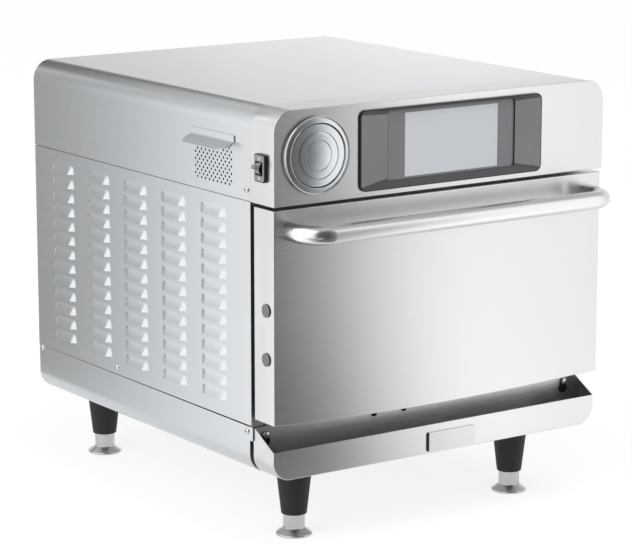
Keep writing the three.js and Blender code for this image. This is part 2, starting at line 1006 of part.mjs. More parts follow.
// Crumb trough: a pan with rounded lower corners and sides that rise to the back
function makeTrough() {
  const half = troughHalf;
  const front = troughFront + sheet;
  const outside = bodyRun(half, legHeight, troughFront, troughBack);
  const inside = bodyRun(half - sheet, legHeight + sheet, front, troughBack - sheet);
  const away = alongX(
    polygon([
      [troughFront - cutOverrun, troughLip],
      [front, troughLip],
      [troughSlopeEnd, troughBackTop],
      [troughBack + cutOverrun, troughBackTop],
      [troughBack + cutOverrun, ovenTop],
      [troughFront - cutOverrun, ovenTop],
    ]),
    -half - cutOverrun,
    half + cutOverrun,
  );
  const screwHoles = [-1, 1].map((side) =>
    turnedY(
      drum(stemRadius / 2 + seatGap, -sheet - cutOverrun, cutOverrun),
      smallSides,
      side * thumbX,
      troughBack,
      thumbZ,
    ),
  );
  return outside.subtract(inside).subtract(away).subtract(join(screwHoles));
}

// Thumb screw that holds the trough's back wall to the base
function makeThumbScrew(side) {
  const face = troughBack - sheet - seatGap;
  const profile = [
    [0, face - thumbLength],
    [thumbRadius - thumbChamfer, face - thumbLength],
    [thumbRadius, face - thumbLength + thumbChamfer],
    [thumbRadius, face],
    [stemRadius / 2, face],
    [stemRadius / 2, shellFront - seatGap],
    [0, shellFront - seatGap],
  ];
  const screw = turnedY(profile, smallSides, side * thumbX, 0, thumbZ);
  const slot = block(
    side * thumbX - thumbRadius - cutOverrun,
    side * thumbX + thumbRadius + cutOverrun,
    face - thumbLength - cutOverrun,
    face - thumbLength + thumbChamfer,
    thumbZ - thumbSlot / 2,
    thumbZ + thumbSlot / 2,
  );
  return screw.subtract(slot);
}

// Tapered leg with a flange under the base, bored for its levelling foot
function makeLeg(x, y) {
  const top = legHeight - seatGap;
  const boreTop = legBottom + neckInside + seatGap * 2;
  const stemTop = boreTop + stemInside + seatGap;
  const neckBore = neckRadius + seatGap;
  const stemBore = stemRadius + seatGap;
  const profile = [
    [0, stemTop],
    [stemBore, stemTop],
    [stemBore, boreTop],
    [neckBore, boreTop],
    [neckBore, legBottom],
    [legBottomRadius, legBottom],
    [legTopRadius, top - legFlange],
    [legTopRadius, top],
    [0, top],
  ];
  return turnedZ(profile, footSides, x, y, 0);
}

// Levelling foot: domed flange, bright neck and the stem that screws into the leg
function makeFoot(x, y) {
  const neckTop = legBottom + neckInside;
  const profile = [
    [0, 0],
    [footRadius - footEdge / 2, 0],
    [footRadius, footEdge],
    [neckRadius + footEdge, footDome],
    [neckRadius, footDome + footEdge],
    [neckRadius, neckTop],
    [stemRadius, neckTop],
    [stemRadius, neckTop + stemInside],
    [0, neckTop + stemInside],
  ];
  return turnedZ(profile, footSides, x, y, 0);
}

// Cavity box, open at the front, with ledges for the plates and the rack and air openings behind
function makeCavityLiner() {
  const outer = block(
    -halfLiner,
    halfLiner,
    linerFront,
    linerBack + linerSheet,
    cavityFloor - linerSheet,
    cavityRoof + linerSheet,
  );
  const inner = block(
    -halfCavity,
    halfCavity,
    linerFront - cutOverrun,
    linerBack,
    cavityFloor,
    cavityRoof,
  );
  const ledges = [lowerPlateZ, upperPlateZ].flatMap((z) =>
    [-1, 1].map((side) =>
      block(
        side * (halfCavity + linerSheet / 2),
        side * (halfCavity - ledgeWidth),
        linerFront + ledgeWidth,
        linerBack - ledgeWidth,
        z - seatGap - ledgeThickness,
        z - seatGap,
      ),
    ),
  );
  const wallCut = (halfWidth, low, high) =>
    block(-halfWidth, halfWidth, linerBack - cutOverrun, linerBack + linerSheet + cutOverrun, low, high);
  const returnCut = wallCut(
    returnWidth / 2,
    cavityMiddleZ - returnHeight / 2,
    cavityMiddleZ + returnHeight / 2,
  );
  const upperCut = wallCut(supplySlotWidth / 2, cavityRoof - supplySlotHeight, cavityRoof);
  const lowerCut = wallCut(supplySlotWidth / 2, cavityFloor, cavityFloor + supplySlotHeight);
  const feedHole = turnedZ(
    drum(feedRadius, -linerSheet - cutOverrun, cutOverrun),
    smallSides,
    middleX,
    stirrerY,
    cavityFloor,
  );
  return join([outer.subtract(inner), ...ledges])
    .subtract(returnCut)
    .subtract(upperCut)
    .subtract(lowerCut)
    .subtract(feedHole);
}

// Blanket round the four long sides of the cavity
function makeInsulation() {
  const half = halfLiner + seatGap;
  const low = cavityFloor - linerSheet - seatGap;
  const high = cavityRoof + linerSheet + seatGap;
  const back = linerBack + linerSheet;
  const outer = block(
    -half - insulationThickness,
    half + insulationThickness,
    linerFront,
    back,
    insulationBottom,
    insulationTop,
  );
  const inner = block(-half, half, linerFront - cutOverrun, back + cutOverrun, low, high);
  const feedHole = turnedZ(
    drum(feedRadius, insulationBottom - cutOverrun, low + cutOverrun),
    smallSides,
    middleX,
    stirrerY,
    0,
  );
  return outer.subtract(inner).subtract(feedHole);
}

// Sheet with a turned-down lip in front and rows of nozzle holes
function makeJetplate(z, rows, columns) {
  const half = halfCavity - seatGap;
  const front = linerFront + ledgeWidth / 2;
  const back = linerBack - seatGap;
  const plate = block(-half, half, front, back, z, z + plateSheet);
  const lipHalf = halfCavity - ledgeWidth - seatGap;
  const lip = block(-lipHalf, lipHalf, front, front + plateSheet, z - plateLip, z + plateSheet / 2);
  const width = half * 2;
  const depth = back - front;
  const holes = range(rows * columns).map((i) => {
    const column = i % columns;
    const row = Math.floor(i / columns);
    const shareX = nozzleMarginShare + ((1 - nozzleMarginShare * 2) * column) / (columns - 1);
    const shareY = nozzleMarginShare + ((1 - nozzleMarginShare * 2) * row) / (rows - 1);
    return turnedZ(
      drum(nozzleRadius, -cutOverrun, plateSheet + cutOverrun),
      holeSides,
      -half + width * shareX,
      front + depth * shareY,
      z,
    );
  });
  return plate.add(lip).subtract(join(holes));
}

// Wire rack: a bar all round and wires laid across it from front to back
function makeRack() {
  const half = halfCavity - ledgeWidth / 2;
  const front = linerFront + ledgeWidth;
  const back = linerBack - ledgeWidth;
  const thick = rackBar * 2;
  const bar = (x0, x1, y0, y1) => block(x0, x1, y0, y1, rackZ - thick, rackZ);
  const rim = join([
    bar(-half, half, front, front + thick),
    bar(-half, half, back - thick, back),
    bar(-half, -half + thick, front, back),
    bar(half - thick, half, front, back),
  ]);
  const wires = range(rackWires).map((i) => {
    const x = -half + ((i + 1) * half * 2) / (rackWires + 1);
    return block(
      x - rackWire,
      x + rackWire,
      front + rackBar,
      back - rackBar,
      rackZ - rackWire,
      rackZ + rackWire,
    );
  });
  const feet = [-1, 1].flatMap((side) =>
    [front, back - thick].map((y) =>
      block(
        side * half,
        side * (half - thick),
        y,
        y + thick,
        lowerPlateZ + plateSheet + seatGap,
        rackZ - rackBar,
      ),
    ),
  );
  return join([rim, ...wires, ...feet]);
}

// Slotted plate over the return air opening
function makeReturnGrille() {
  const half = returnWidth / 2 + grilleMargin;
  const low = cavityMiddleZ - returnHeight / 2 - grilleMargin;
  const high = cavityMiddleZ + returnHeight / 2 + grilleMargin;
  const back = linerBack - seatGap;
  const plate = block(-half, half, back - grilleSheet, back, low, high);
  const pitch = returnHeight / returnSlots;
  const slots = range(returnSlots).map((i) => {
    const z = cavityMiddleZ - returnHeight / 2 + (i + 0.5) * pitch;
    const halfSlot = (pitch * returnSlotShare) / 2;
    return block(
      -returnWidth / 2,
      returnWidth / 2,
      back - grilleSheet - cutOverrun,
      back + cutOverrun,
      z - halfSlot,
      z + halfSlot,
    );
  });
  return plate.subtract(join(slots));
}

// Catalyst brick that seats behind the return opening, open through its middle rows
function makeCatalyst() {
  const front = blowerFront;
  const half = returnWidth / 2 + grilleMargin / 2;
  const halfHigh = returnHeight / 2 + grilleMargin / 2;
  const brick = block(
    -half,
    half,
    front,
    front + catalystDepth,
    cavityMiddleZ - halfHigh,
    cavityMiddleZ + halfHigh,
  );
  const pitch = returnHeight / returnSlots;
  const cells = range(returnSlots).map((i) => {
    const z = cavityMiddleZ - returnHeight / 2 + (i + 0.5) * pitch;
    return block(
      -returnWidth / 2,
      returnWidth / 2,
      front - cutOverrun,
      front + catalystDepth + cutOverrun,
      z - pitch / 4,
      z + pitch / 4,
    );
  });
  return brick.subtract(join(cells));
}

// Blower housing: a pan open towards the cavity, with holes for the shaft and the heater's legs
function makeBlowerHousing() {
  const half = halfCavity - blowerSide;
  const low = cavityFloor - blowerOver;
  const high = cavityRoof + blowerOver;
  const outer = block(-half, half, blowerFront, blowerBack, low, high);
  const inner = block(
    -half + linerSheet,
    half - linerSheet,
    blowerFront - cutOverrun,
    blowerBack - linerSheet,
    low + linerSheet,
    high - linerSheet,
  );
  const through = (radius, x, z) =>
    turnedY(
      drum(radius, blowerBack - linerSheet - cutOverrun, blowerBack + cutOverrun),
      smallSides,
      x,
      0,
      z,
    );
  const legX = heaterRadius * Math.sin((heaterGapAngle / 2) * degree);
  const legZ = cavityMiddleZ - heaterRadius * Math.cos((heaterGapAngle / 2) * degree);
  return outer
    .subtract(inner)
    .subtract(through(shaftRadius + runningGap * 2, middleX, cavityMiddleZ))
    .subtract(through(heaterTube + seatGap, -legX, legZ))
    .subtract(through(heaterTube + seatGap, legX, legZ));
}

// Blower wheel: a back plate, a front ring, leaning blades between them and the shaft
function makeBlowerWheel() {
  const front = blowerFront + catalystDepth + runningGap * 4;
  const back = front + wheelDepth;
  const plate = turnedY(drum(wheelRadius, back - wheelPlate, back), innerSides, 0, 0, 0);
  const ring = turnedY(
    [
      [wheelRadius * wheelEyeShare, front],
      [wheelRadius, front],
      [wheelRadius, front + wheelPlate],
      [wheelRadius * wheelEyeShare, front + wheelPlate],
      [wheelRadius * wheelEyeShare, front],
    ],
    innerSides,
    0,
    0,
    0,
  );
  const length = wheelRadius * wheelBladeShare;
  const middle = wheelRadius * (1 - wheelBladeShare / 2) - wheelBladeThickness * 2;
  const blades = range(wheelBlades).map((i) => {
    const blade = new THREE.BoxGeometry(length, wheelDepth - wheelPlate, wheelBladeThickness);
    blade.rotateY(wheelBladeLean * degree).translate(middle, (front + back) / 2, 0);
    return toSolid(blade.rotateY((i * 2 * Math.PI) / wheelBlades));
  });
  const hub = turnedY(drum(shaftRadius * 2, back - wheelDepth / 2, back), smallSides, 0, 0, 0);
  const shaftEnd = blowerBack + motorFlangeThickness + motorLength / 2;
  const shaft = turnedY(drum(shaftRadius, back - wheelPlate, shaftEnd), smallSides, 0, 0, 0);
  const wheel = join([plate, ring, ...blades, hub, shaft]);
  return moved(wheel, middleX, 0, cavityMiddleZ);
}

// A solid shifted by whole lengths
function moved(solid, x, y, z) {
  return toSolid(toGeometry(solid).translate(x, y, z));
}

function makeBlowerMotor() {
  const front = blowerBack + seatGap;
  const back = front + motorFlangeThickness + motorLength;
  const halfFlange = wheelRadius * motorFlangeShare;
  const flange = block(
    -halfFlange,
    halfFlange,
    front,
    front + motorFlangeThickness,
    cavityMiddleZ - halfFlange,
    cavityMiddleZ + halfFlange,
  );
  const can = turnedY(
    [
      [0, front],
      [motorRadius, front],
      [motorRadius, back - motorChamfer],
      [motorRadius - motorChamfer, back],
      [0, back],
    ],
    innerSides,
    middleX,
    0,
    cavityMiddleZ,
  );
  const bore = turnedY(
    drum(shaftRadius + runningGap, front - cutOverrun, front + motorFlangeThickness + motorLength / 2),
    smallSides,
    middleX,
    0,
    cavityMiddleZ,
  );
  return flange.add(can).subtract(bore);
}

// Heater: one open ring of tube round the wheel, with both ends led out through the housing
function makeHeater() {
  const ringY = blowerFront + catalystDepth + wheelDepth / 2;
  const end = blowerBack + motorFlangeThickness * 2;
  const open = (heaterGapAngle / 2) * degree;
  const at = (angle, y) =>
    new THREE.Vector3(
      -heaterRadius * Math.sin(angle),
      y,
      cavityMiddleZ - heaterRadius * Math.cos(angle),
    );
  const first = at(open, end);
  const last = at(2 * Math.PI - open, end);
  const turn = 2 * Math.PI - 2 * open;
  const ring = range(innerSides + 1).map((i) => at(open + (turn * i) / innerSides, ringY));
  const route = new THREE.CatmullRomCurve3(
    [
      first,
      at(open, (ringY + end) / 2),
      at(open, ringY + heaterTube * 2),
      ...ring.slice(1, -1),
      at(2 * Math.PI - open, ringY + heaterTube * 2),
      at(2 * Math.PI - open, (ringY + end) / 2),
      last,
    ],
    false,
    "centripetal",
  );
  const section = polygon(
    range(holeSides).map((i) => {
      const angle = (i * 2 * Math.PI) / holeSides;
      return [heaterTube * Math.cos(angle), heaterTube * Math.sin(angle)];
    }),
  );
  const tube = new THREE.ExtrudeGeometry(section, {
    steps: pathSteps,
    extrudePath: route,
    bevelEnabled: false,
  });
  return toSolid(tube);
}

// Waveguide box: closed under the insulation, open at the back for the magnetrons' antennas
function makeWaveguide() {
  const half = waveguideWidth / 2;
  const top = insulationBottom - seatGap;
  const low = top - waveguideHeight;
  const outer = block(-half, half, waveguideFront, waveguideBack, low, top);
  const inner = block(
    -half + waveguideSheet,
    half - waveguideSheet,
    waveguideFront + waveguideSheet,
    waveguideBack - waveguideSheet,
    low + waveguideSheet,
    top - waveguideSheet,
  );
  const holeFront = waveguideBack - waveguideSheet - cutOverrun;
  const antennaHoles = [-1, 1].map((side) =>
    turnedY(
      drum(antennaRadius + runningGap * 2, holeFront, waveguideBack + cutOverrun),
      smallSides,
      side * magnetronX,
      0,
      low + waveguideHeight / 2,
    ),
  );
  const feedHole = turnedZ(
    drum(feedRadius, top - waveguideSheet - cutOverrun, top + cutOverrun),
    smallSides,
    middleX,
    stirrerY,
    0,
  );
  const shaftHole = turnedZ(
    drum(stirrerShaft + runningGap, low - cutOverrun, low + waveguideSheet + cutOverrun),
    smallSides,
    middleX,
    stirrerY,
    0,
  );
  return outer.subtract(inner).subtract(join([...antennaHoles, feedHole, shaftHole]));
}

// Mode stirrer under the lower plate: bent blades on a shaft that runs down to its motor
function makeStirrer() {
  const low = cavityFloor + stirrerLift / 2;
  const motorTop = insulationBottom - seatGap - waveguideHeight - seatGap;
  const shaftLow = motorTop - stirrerMotorRadius / 2;
  const hub = turnedZ(
    drum(stirrerHub, low, low + stirrerLift),
    smallSides,
    middleX,
    stirrerY,
    0,
  );
  const shaft = turnedZ(
    drum(stirrerShaft, shaftLow, low + stirrerLift / 2),
    smallSides,
    middleX,
    stirrerY,
    0,
  );
  const blades = range(stirrerBlades).map((i) => {
    const blade = new THREE.BoxGeometry(stirrerRadius, stirrerBladeWidth, stirrerSheet);
    blade.rotateX(stirrerPitch * degree).translate(stirrerRadius / 2, 0, low + stirrerLift / 2);
    blade.rotateZ((i * 2 * Math.PI) / stirrerBlades).translate(middleX, stirrerY, 0);
    return toSolid(blade);
  });
  return join([hub, shaft, ...blades]);
}

function makeStirrerMotor() {
  const top = insulationBottom - seatGap - waveguideHeight - seatGap;
  const low = baseFloor + seatGap;
  const can = turnedZ(
    drum(stirrerMotorRadius, low, top),
    innerSides,
    middleX,
    stirrerY,
    0,
  );
  const bore = turnedZ(
    drum(stirrerShaft + runningGap, top - stirrerMotorRadius / 2 - runningGap, top + cutOverrun),
    smallSides,
    middleX,
    stirrerY,
    0,
  );
  return can.subtract(bore);
}

// Magnetron hung behind the waveguide: end plates, cooling fins, core and antenna
function makeMagnetron(side) {
  const x = side * magnetronX;
  const front = waveguideBack + seatGap;
  const back = front + magnetronLength;
  const middle = insulationBottom - seatGap - waveguideHeight / 2;
  const low = middle - magnetronHeight / 2;
  const high = middle + magnetronHeight / 2;
  const half = magnetronWidth / 2;
  const plates = [front, back - magnetronPlate].map((y) =>
    block(x - half, x + half, y, y + magnetronPlate, low, high),
  );
  const shoe = block(x - half, x + half, front, back, low, low + magnetronPlate);
  const core = turnedY(drum(magnetronCoreRadius, front, back), holeSides, x, 0, middle);
  const fins = range(magnetronFins).map((i) => {
    const y = front + ((i + 1) * magnetronLength) / (magnetronFins + 1);
    const finHalf = half - magnetronPlate * 2;
    return block(
      x - finHalf,
      x + finHalf,
      y,
      y + sheet,
      low + magnetronPlate * 2,
      high - magnetronPlate * 2,
    );
  });
  const antenna = turnedY(
    [
      [0, front - antennaReach],
      [antennaRadius - antennaChamfer, front - antennaReach],
      [antennaRadius, front - antennaReach + antennaChamfer],
      [antennaRadius, front + magnetronPlate],
      [0, front + magnetronPlate],
    ],
    holeSides,
    x,
    0,
    middle,
  );
  return join([...plates, shoe, core, ...fins, antenna]);
}

// High voltage transformer: laminated core on a foot plate with its coil through the middle
function makeTransformer(side) {
  const x = side * transformerX;
  const low = baseFloor + seatGap;
  const halfX = transformerWidth / 2;
  const halfY = transformerDepth / 2;
  const footPlate = block(
    x - halfX,
    x + halfX,
    transformerY - halfY,
    transformerY + halfY,
    low,
    low + transformerFoot,
  );
  const coreHalfY = transformerDepth / 2 - transformerCoilProud;
  const core = block(
    x - halfX + transformerFoot,
    x + halfX - transformerFoot,
    transformerY - coreHalfY,
    transformerY + coreHalfY,
    low,
    low + transformerHeight,
  );
  const coil = alongY(
    roundedRect(
      x - transformerCoil / 2,
      x + transformerCoil / 2,
      low + transformerCoilProud,
      low + transformerHeight - transformerCoilProud,
      transformerCoilProud,
    ),
    transformerY - halfY + transformerFoot,
    transformerY + halfY - transformerFoot,
    chamferSteps,
  );
  return join([footPlate, core, coil]);
}

// Cooling fan frame: a square body with a round duct, four struts and the hub that carries the pin
function makeFanFrame() {
  const back = backPanelY - sheet - seatGap;
  const front = back - fanDepth;
  const half = fanSquare / 2;
  const body = block(fanX - half, fanX + half, front, back, fanZ - half, fanZ + half);
  const duct = turnedY(
    drum(fanBore, front - cutOverrun, back + cutOverrun),
    innerSides,
    fanX,
    0,
    fanZ,
  );
  const strutBack = front + fanStrut;
  const hub = turnedY(drum(fanHub, front, strutBack), innerSides, fanX, 0, fanZ);
  const struts = [
    block(fanX - half, fanX + half, front, strutBack, fanZ - fanStrut / 2, fanZ + fanStrut / 2),
    block(fanX - fanStrut / 2, fanX + fanStrut / 2, front, strutBack, fanZ - half, fanZ + half),
  ];
  const bore = turnedY(
    drum(fanPin + runningGap, front - cutOverrun, strutBack + cutOverrun),
    smallSides,
    fanX,
    0,
    fanZ,
  );
  return join([body.subtract(duct), hub, ...struts]).subtract(bore);
}

function makeCoolingFan() {
  const back = backPanelY - sheet - seatGap;
  const front = back - fanDepth;
  const hubFront = front + fanStrut + runningGap;
  const hubBack = back - runningGap * 2;
  const hub = turnedY(drum(fanHub, hubFront, hubBack), innerSides, 0, 0, 0);
  const pin = turnedY(drum(fanPin, front, hubFront + fanStrut), smallSides, 0, 0, 0);
  const reach = fanBore * fanBladeShare;
  const length = reach - fanHub / 2;
  const blades = range(fanBlades).map((i) => {
    const width = hubBack - hubFront - fanStrut;
    const blade = new THREE.BoxGeometry(length, width, fanBladeThickness);
    blade.rotateX(fanBladePitch * degree);
    blade.translate(fanHub / 2 + length / 2, (hubFront + hubBack) / 2, 0);
    return toSolid(blade.rotateY((i * 2 * Math.PI) / fanBlades));
  });
  return moved(join([hub, pin, ...blades]), fanX, 0, fanZ);
}

// Shelf over the insulation that carries the electronics, held between the frame's flanges
function makeShelf() {
  const half = lappedHalf - frameSheet - seatGap;
  const low = insulationTop + seatGap;
  const front = frameBack + seatGap;
  const back = backPanelY - sheet - seatGap;
  return alongY(channel(half, low, shelfSheet, low + shelfFlange), front, back);
}

function makeControlBoard() {
  const low = insulationTop + seatGap + shelfSheet + seatGap;
  const boardLow = low + boardStandoff;
  const left = -boardWidth / 2;
  const front = boardFront;
  const board = block(
    left,
    left + boardWidth,
    front,
    front + boardDepth,
    boardLow,
    boardLow + boardThickness,
  );
  const cell = boardWidth / (boardParts * 2 + 1);
  const lumps = range(boardParts).map((i) =>
    block(
      left + cell * (i * 2 + 1),
      left + cell * (i * 2 + 2),
      front + cell,
      front + boardDepth - cell * (i + 1),
      boardLow + boardThickness / 2,
      boardLow + boardPartHeight,
    ),
  );
  const inset = boardStandoffRadius * 2;
  const posts = [left + inset, left + boardWidth - inset].flatMap((x) =>
    [front + inset, front + boardDepth - inset].map((y) =>
      turnedZ(drum(boardStandoffRadius, low, boardLow + boardThickness / 2), holeSides, x, y, 0),
    ),
  );
  return join([board, ...lumps, ...posts]);
}

// Gland for the supply cord: a collar outside the back panel and a bored stub through it
function makeCordGland() {
  const profile = [
    [glandBore, backPanelY - sheet - glandInside],
    [glandRadius, backPanelY - sheet - glandInside],
    [glandRadius, backPanelY + seatGap],
    [glandCollar, backPanelY + seatGap],
    [glandCollar, (backPanelY + bodyDepth + glandProud) / 2],
    [glandRadius - glandChamfer, bodyDepth + glandProud],
    [glandBore, bodyDepth + glandProud],
    [glandBore, backPanelY - sheet - glandInside],
  ];
  return turnedY(profile, innerSides, glandX, 0, glandZ);
}

// Door skin: a tray of sheet, open behind, notched for the hinge arms and drilled for the plugs
function makeDoorSkin() {
  const half = doorHalf;
  const outer = block(-half, half, doorFace, doorBack, doorBottom, doorTop);
  const inner = block(
    -half + sheet,
    half - sheet,
    doorFace + sheet,
    doorBack + cutOverrun,
    doorBottom + sheet,
    doorTop - sheet,
  );
  const notches = [-1, 1].map(hingeNotch);
  const plugHoles = [-1, 1].flatMap((side) =>
    [lowerPlugZ, upperPlugZ].map((z) =>
      turnedX(
        drum(plugRadius - plugProud, -sheet - cutOverrun, sheet + cutOverrun),
        smallSides,
        side * half,
        plugY,
        z,
      ),
    ),
  );
  return outer.subtract(inner).subtract(join(notches)).subtract(join(plugHoles));
}

// Room that a hinge arm needs in the door's lower rear edge
function hingeNotch(side) {
  const middle = side * hingeArmX;
  const half = hingeArmThickness / 2 + hingeSlotSide;
  return block(
    middle - half,
    middle + half,
    hingeY - hingeArmRadius - runningGap,
    doorBack + cutOverrun,
    doorBottom - cutOverrun,
    hingeZ + hingeArmRadius + runningGap,
  );
}

// Inner panel of the door, with the pan that faces the cavity mouth and the cheeks for the pins
function makeDoorPanel() {
  const half = doorHalf - sheet - seatGap;
  const low = doorBottom + sheet + seatGap;
  const high = doorTop - sheet - seatGap;
  const front = doorBack - doorPanelSheet;
  const panel = block(-half, half, front, doorBack, low, high);
  const pan = alongY(
    roundedRect(-chokeHalf, chokeHalf, chokeLow, chokeHigh, chokeRadius),
    front,
    doorBack + chokeProud,
    bendSteps,
  );
  const hollow = block(
    -chokeHalf + chokeRadius / 2,
    chokeHalf - chokeRadius / 2,
    front - cutOverrun,
    doorBack + chokeProud - doorPanelSheet,
    chokeLow + chokeRadius / 2,
    chokeHigh - chokeRadius / 2,
  );
  const cheeks = [-1, 1].map((side) => {
    const inner = hingeArmX + hingeArmThickness / 2 + hingeSlotSide + seatGap;
    const outline = roundedRect(
      hingeY - hingeArmRadius,
      doorBack - doorPanelSheet / 2,
      low,
      hingeZ + hingeArmRadius * 2,
      hingeArmRadius / 2,
    );
    const cheek = alongX(outline, side * inner, side * (inner + hingeCheek), chamferSteps);
    const bore = turnedX(
      drum(hingePinRadius + runningGap, -hingePinReach, hingePinReach * 2),
      smallSides,
      side > 0 ? inner : -inner - hingePinReach,
      hingeY,
      hingeZ,
    );
    return cheek.subtract(bore);
  });
  const notches = [-1, 1].map(hingeNotch);
  return join([panel.add(pan).subtract(hollow).subtract(join(notches)), ...cheeks]);
}

// Seal between the door and the front frame: one ring held on the door's inner panel
function makeGasket() {
  const outerHalf = doorHalf - gasketInset;
  const low = hingeZ + hingeArmRadius + gasketLift;
  const high = doorTop - gasketInset;
  const outer = roundedRect(-outerHalf, outerHalf, low, high, gasketWidth * 2);
  const inner = roundedRect(
    -outerHalf + gasketWidth,
    outerHalf - gasketWidth,
    low + gasketWidth,
    high - gasketWidth,
    gasketWidth,
  );
  outer.holes.push(inner);
  return alongY(outer, doorBack + seatGap, doorBack + gasketProud, bendSteps);
}

// Tubular handle: one tube with a quarter bend at each end, meeting the door's face
function makeHandle() {
  const root = doorFace - seatGap;
  const axisY = consoleFace - handleFront + handleRadius;
  const endX = handleHalf - handleRadius;
  const corner = (side, step) => {
    const angle = ((step / handleSteps) * Math.PI) / 2;
    return new THREE.Vector3(
      side * (endX - handleBend + handleBend * Math.cos(angle)),
      axisY + handleBend - handleBend * Math.sin(angle),
      handleZ,
    );
  };
  const steps = range(handleSteps + 1);
  const points = [
    new THREE.Vector3(-endX, root, handleZ),
    ...steps.map((step) => corner(-1, step)),
    ...steps.map((step) => corner(1, handleSteps - step)),
    new THREE.Vector3(endX, root, handleZ),
  ];
  return sweptTube(points, handleRadius, handleSides);
}

// Round tube through a list of points in one level plane, mitred at each point
function sweptTube(points, radius, sides) {
  const vertices = [];
  const up = new THREE.Vector3(0, 0, 1);
  const rings = points.map((point, i) => {
    const before = points[Math.max(i - 1, 0)];
    const after = points[Math.min(i + 1, points.length - 1)];
    const into = point.clone().sub(before);
    const out = after.clone().sub(point);
    if (!i) into.copy(out);
    if (i === points.length - 1) out.copy(into);
    const tangent = into.normalize().add(out.normalize());
    const half = tangent.length() / 2;
    const across = up.clone().cross(tangent.normalize());
    return range(sides).map((k) => {
      const angle = (k * 2 * Math.PI) / sides;
      return point
        .clone()
        .addScaledVector(across, (radius * Math.cos(angle)) / half)
        .addScaledVector(up, radius * Math.sin(angle));
    });
  });
  rings.flat().forEach((p) => vertices.push(p.x, p.y, p.z));
  const faces = [];
  const at = (ring, k) => ring * sides + (k % sides);
  for (const ring of range(points.length - 1)) {
    for (const k of range(sides)) {
      faces.push(at(ring, k), at(ring, k + 1), at(ring + 1, k));
      faces.push(at(ring, k + 1), at(ring + 1, k + 1), at(ring + 1, k));
    }
  }
  const last = points.length - 1;
  for (const k of range(sides - 2)) {
    faces.push(at(0, 0), at(0, k + 2), at(0, k + 1));
    faces.push(at(last, 0), at(last, k + 1), at(last, k + 2));
  }
  const geometry = new THREE.BufferGeometry();
  geometry.setAttribute("position", new THREE.Float32BufferAttribute(vertices, 3));
  geometry.setIndex(faces);
  return toSolid(geometry);
}

// Hinge bracket: a flange on the front frame, an arm into the door and the pin it turns on
function makeHingeBracket(side) {
  const inner = side * (hingeArmX - hingeArmThickness / 2);
  const outer = side * (hingeArmX + hingeArmThickness / 2);
  const back = frameFront - seatGap;
  const armOutline = new THREE.Shape();
  armOutline.moveTo(back, hingeZ - hingeArmRadius);
  armOutline.lineTo(back, hingeZ + hingeArmRadius);
  armOutline.absarc(hingeY, hingeZ, hingeArmRadius, Math.PI / 2, Math.PI * 1.5, false);
  const arm = alongX(armOutline, inner, outer);
  const flange = block(
    side * (hingeArmX - hingeFlangeWidth / 2),
    side * (hingeArmX + hingeFlangeWidth / 2),
    back - hingeFlangeThickness,
    back,
    hingeZ - hingeFlangeDrop,
    hingeZ + hingeArmRadius,
  );
  const pin = turnedX(
    drum(hingePinRadius, 0, hingeArmThickness + hingeSlotSide + hingePinReach),
    smallSides,
    side > 0 ? inner : -hingeArmX - hingeArmThickness / 2 - hingeSlotSide - hingePinReach,
    hingeY,
    hingeZ,
  );
  return join([arm, flange, pin]);
}

// Domed plug that closes a screw hole in the door's edge
function makePlug(side, z) {
  const face = doorHalf + seatGap;
  const neck = plugRadius - plugProud - seatGap;
  const profile = [
    [0, doorHalf - sheet - plugInside],
    [neck, doorHalf - sheet - plugInside],
    [neck, face],
    [plugRadius, face],
    [plugRadius - plugProud / 2, face + plugProud / 2],
    [0, face + plugProud],
  ];
  const geometry = turned(profile, smallSides);
  geometry.rotateZ((-side * Math.PI) / 2).translate(0, plugY, z);
  return toSolid(geometry);
}

const satinSteel = { color: 0xb9bcbf, roughness: 0.38, metalness: 0.9 };
const brightSteel = { color: 0xd2d4d6, roughness: 0.2, metalness: 1 };
const dullSteel = { color: 0x8f9398, roughness: 0.55, metalness: 0.8 };
const blackPlastic = { color: 0x26262a, roughness: 0.55, metalness: 0 };
const greyPlastic = { color: 0x59575a, roughness: 0.45, metalness: 0 };
const darkGlass = { color: 0x8f979d, roughness: 0.12, metalness: 0 };
const rubber = { color: 0x18181a, roughness: 0.8, metalness: 0 };
const blanket = { color: 0xd9d3c4, roughness: 0.95, metalness: 0 };
const ceramic = { color: 0x9a8f80, roughness: 0.85, metalness: 0 };
const boardGreen = { color: 0x2f5d44, roughness: 0.6, metalness: 0 };
const copperBrown = { color: 0x7a5138, roughness: 0.5, metalness: 0.4 };

const oven = new THREE.Group();
oven.position.x = (seatGap + hoodReach - louvreReach) / 2;
oven.position.y = -(frontmost + deepest) / 2;

function addPiece(name, solid, finish) {
  const material = new THREE.MeshStandardMaterial({ ...finish, flatShading: true });
  const mesh = new THREE.Mesh(toGeometry(solid), material);
  mesh.name = name;
  oven.add(mesh);
}

const sides = [
  ["left", -1],
  ["right", 1],
];

addPiece("top_cover", makeTopCover(), satinSteel);
addPiece("vent_hood", makeVentHood(), satinSteel);
addPiece("vent_duct", makeVentDuct(), dullSteel);
addPiece("control_console", makeConsole(), satinSteel);
addPiece("touch_bezel", makeBezel(), greyPlastic);
addPiece("touch_glass", makeGlass(), darkGlass);
addPiece("display_module", makeDisplay(), blackPlastic);
addPiece("medallion", makeMedallion(), brightSteel);
addPiece("badge_plate", makeBadge(), brightSteel);
addPiece("power_switch_housing", makeSwitchHousing(), blackPlastic);
addPiece("power_switch_lever", makeSwitchLever(), brightSteel);
addPiece("base_pan", makeBasePan(), satinSteel);
addPiece("back_panel", makeBackPanel(), satinSteel);
addPiece("front_frame", makeFrontFrame(), satinSteel);
addPiece("crumb_trough", makeTrough(), satinSteel);
addPiece("cavity_liner", makeCavityLiner(), satinSteel);
addPiece("cavity_insulation", makeInsulation(), blanket);
addPiece("lower_jetplate", makeJetplate(lowerPlateZ, lowerNozzleRows, lowerNozzleColumns), satinSteel);
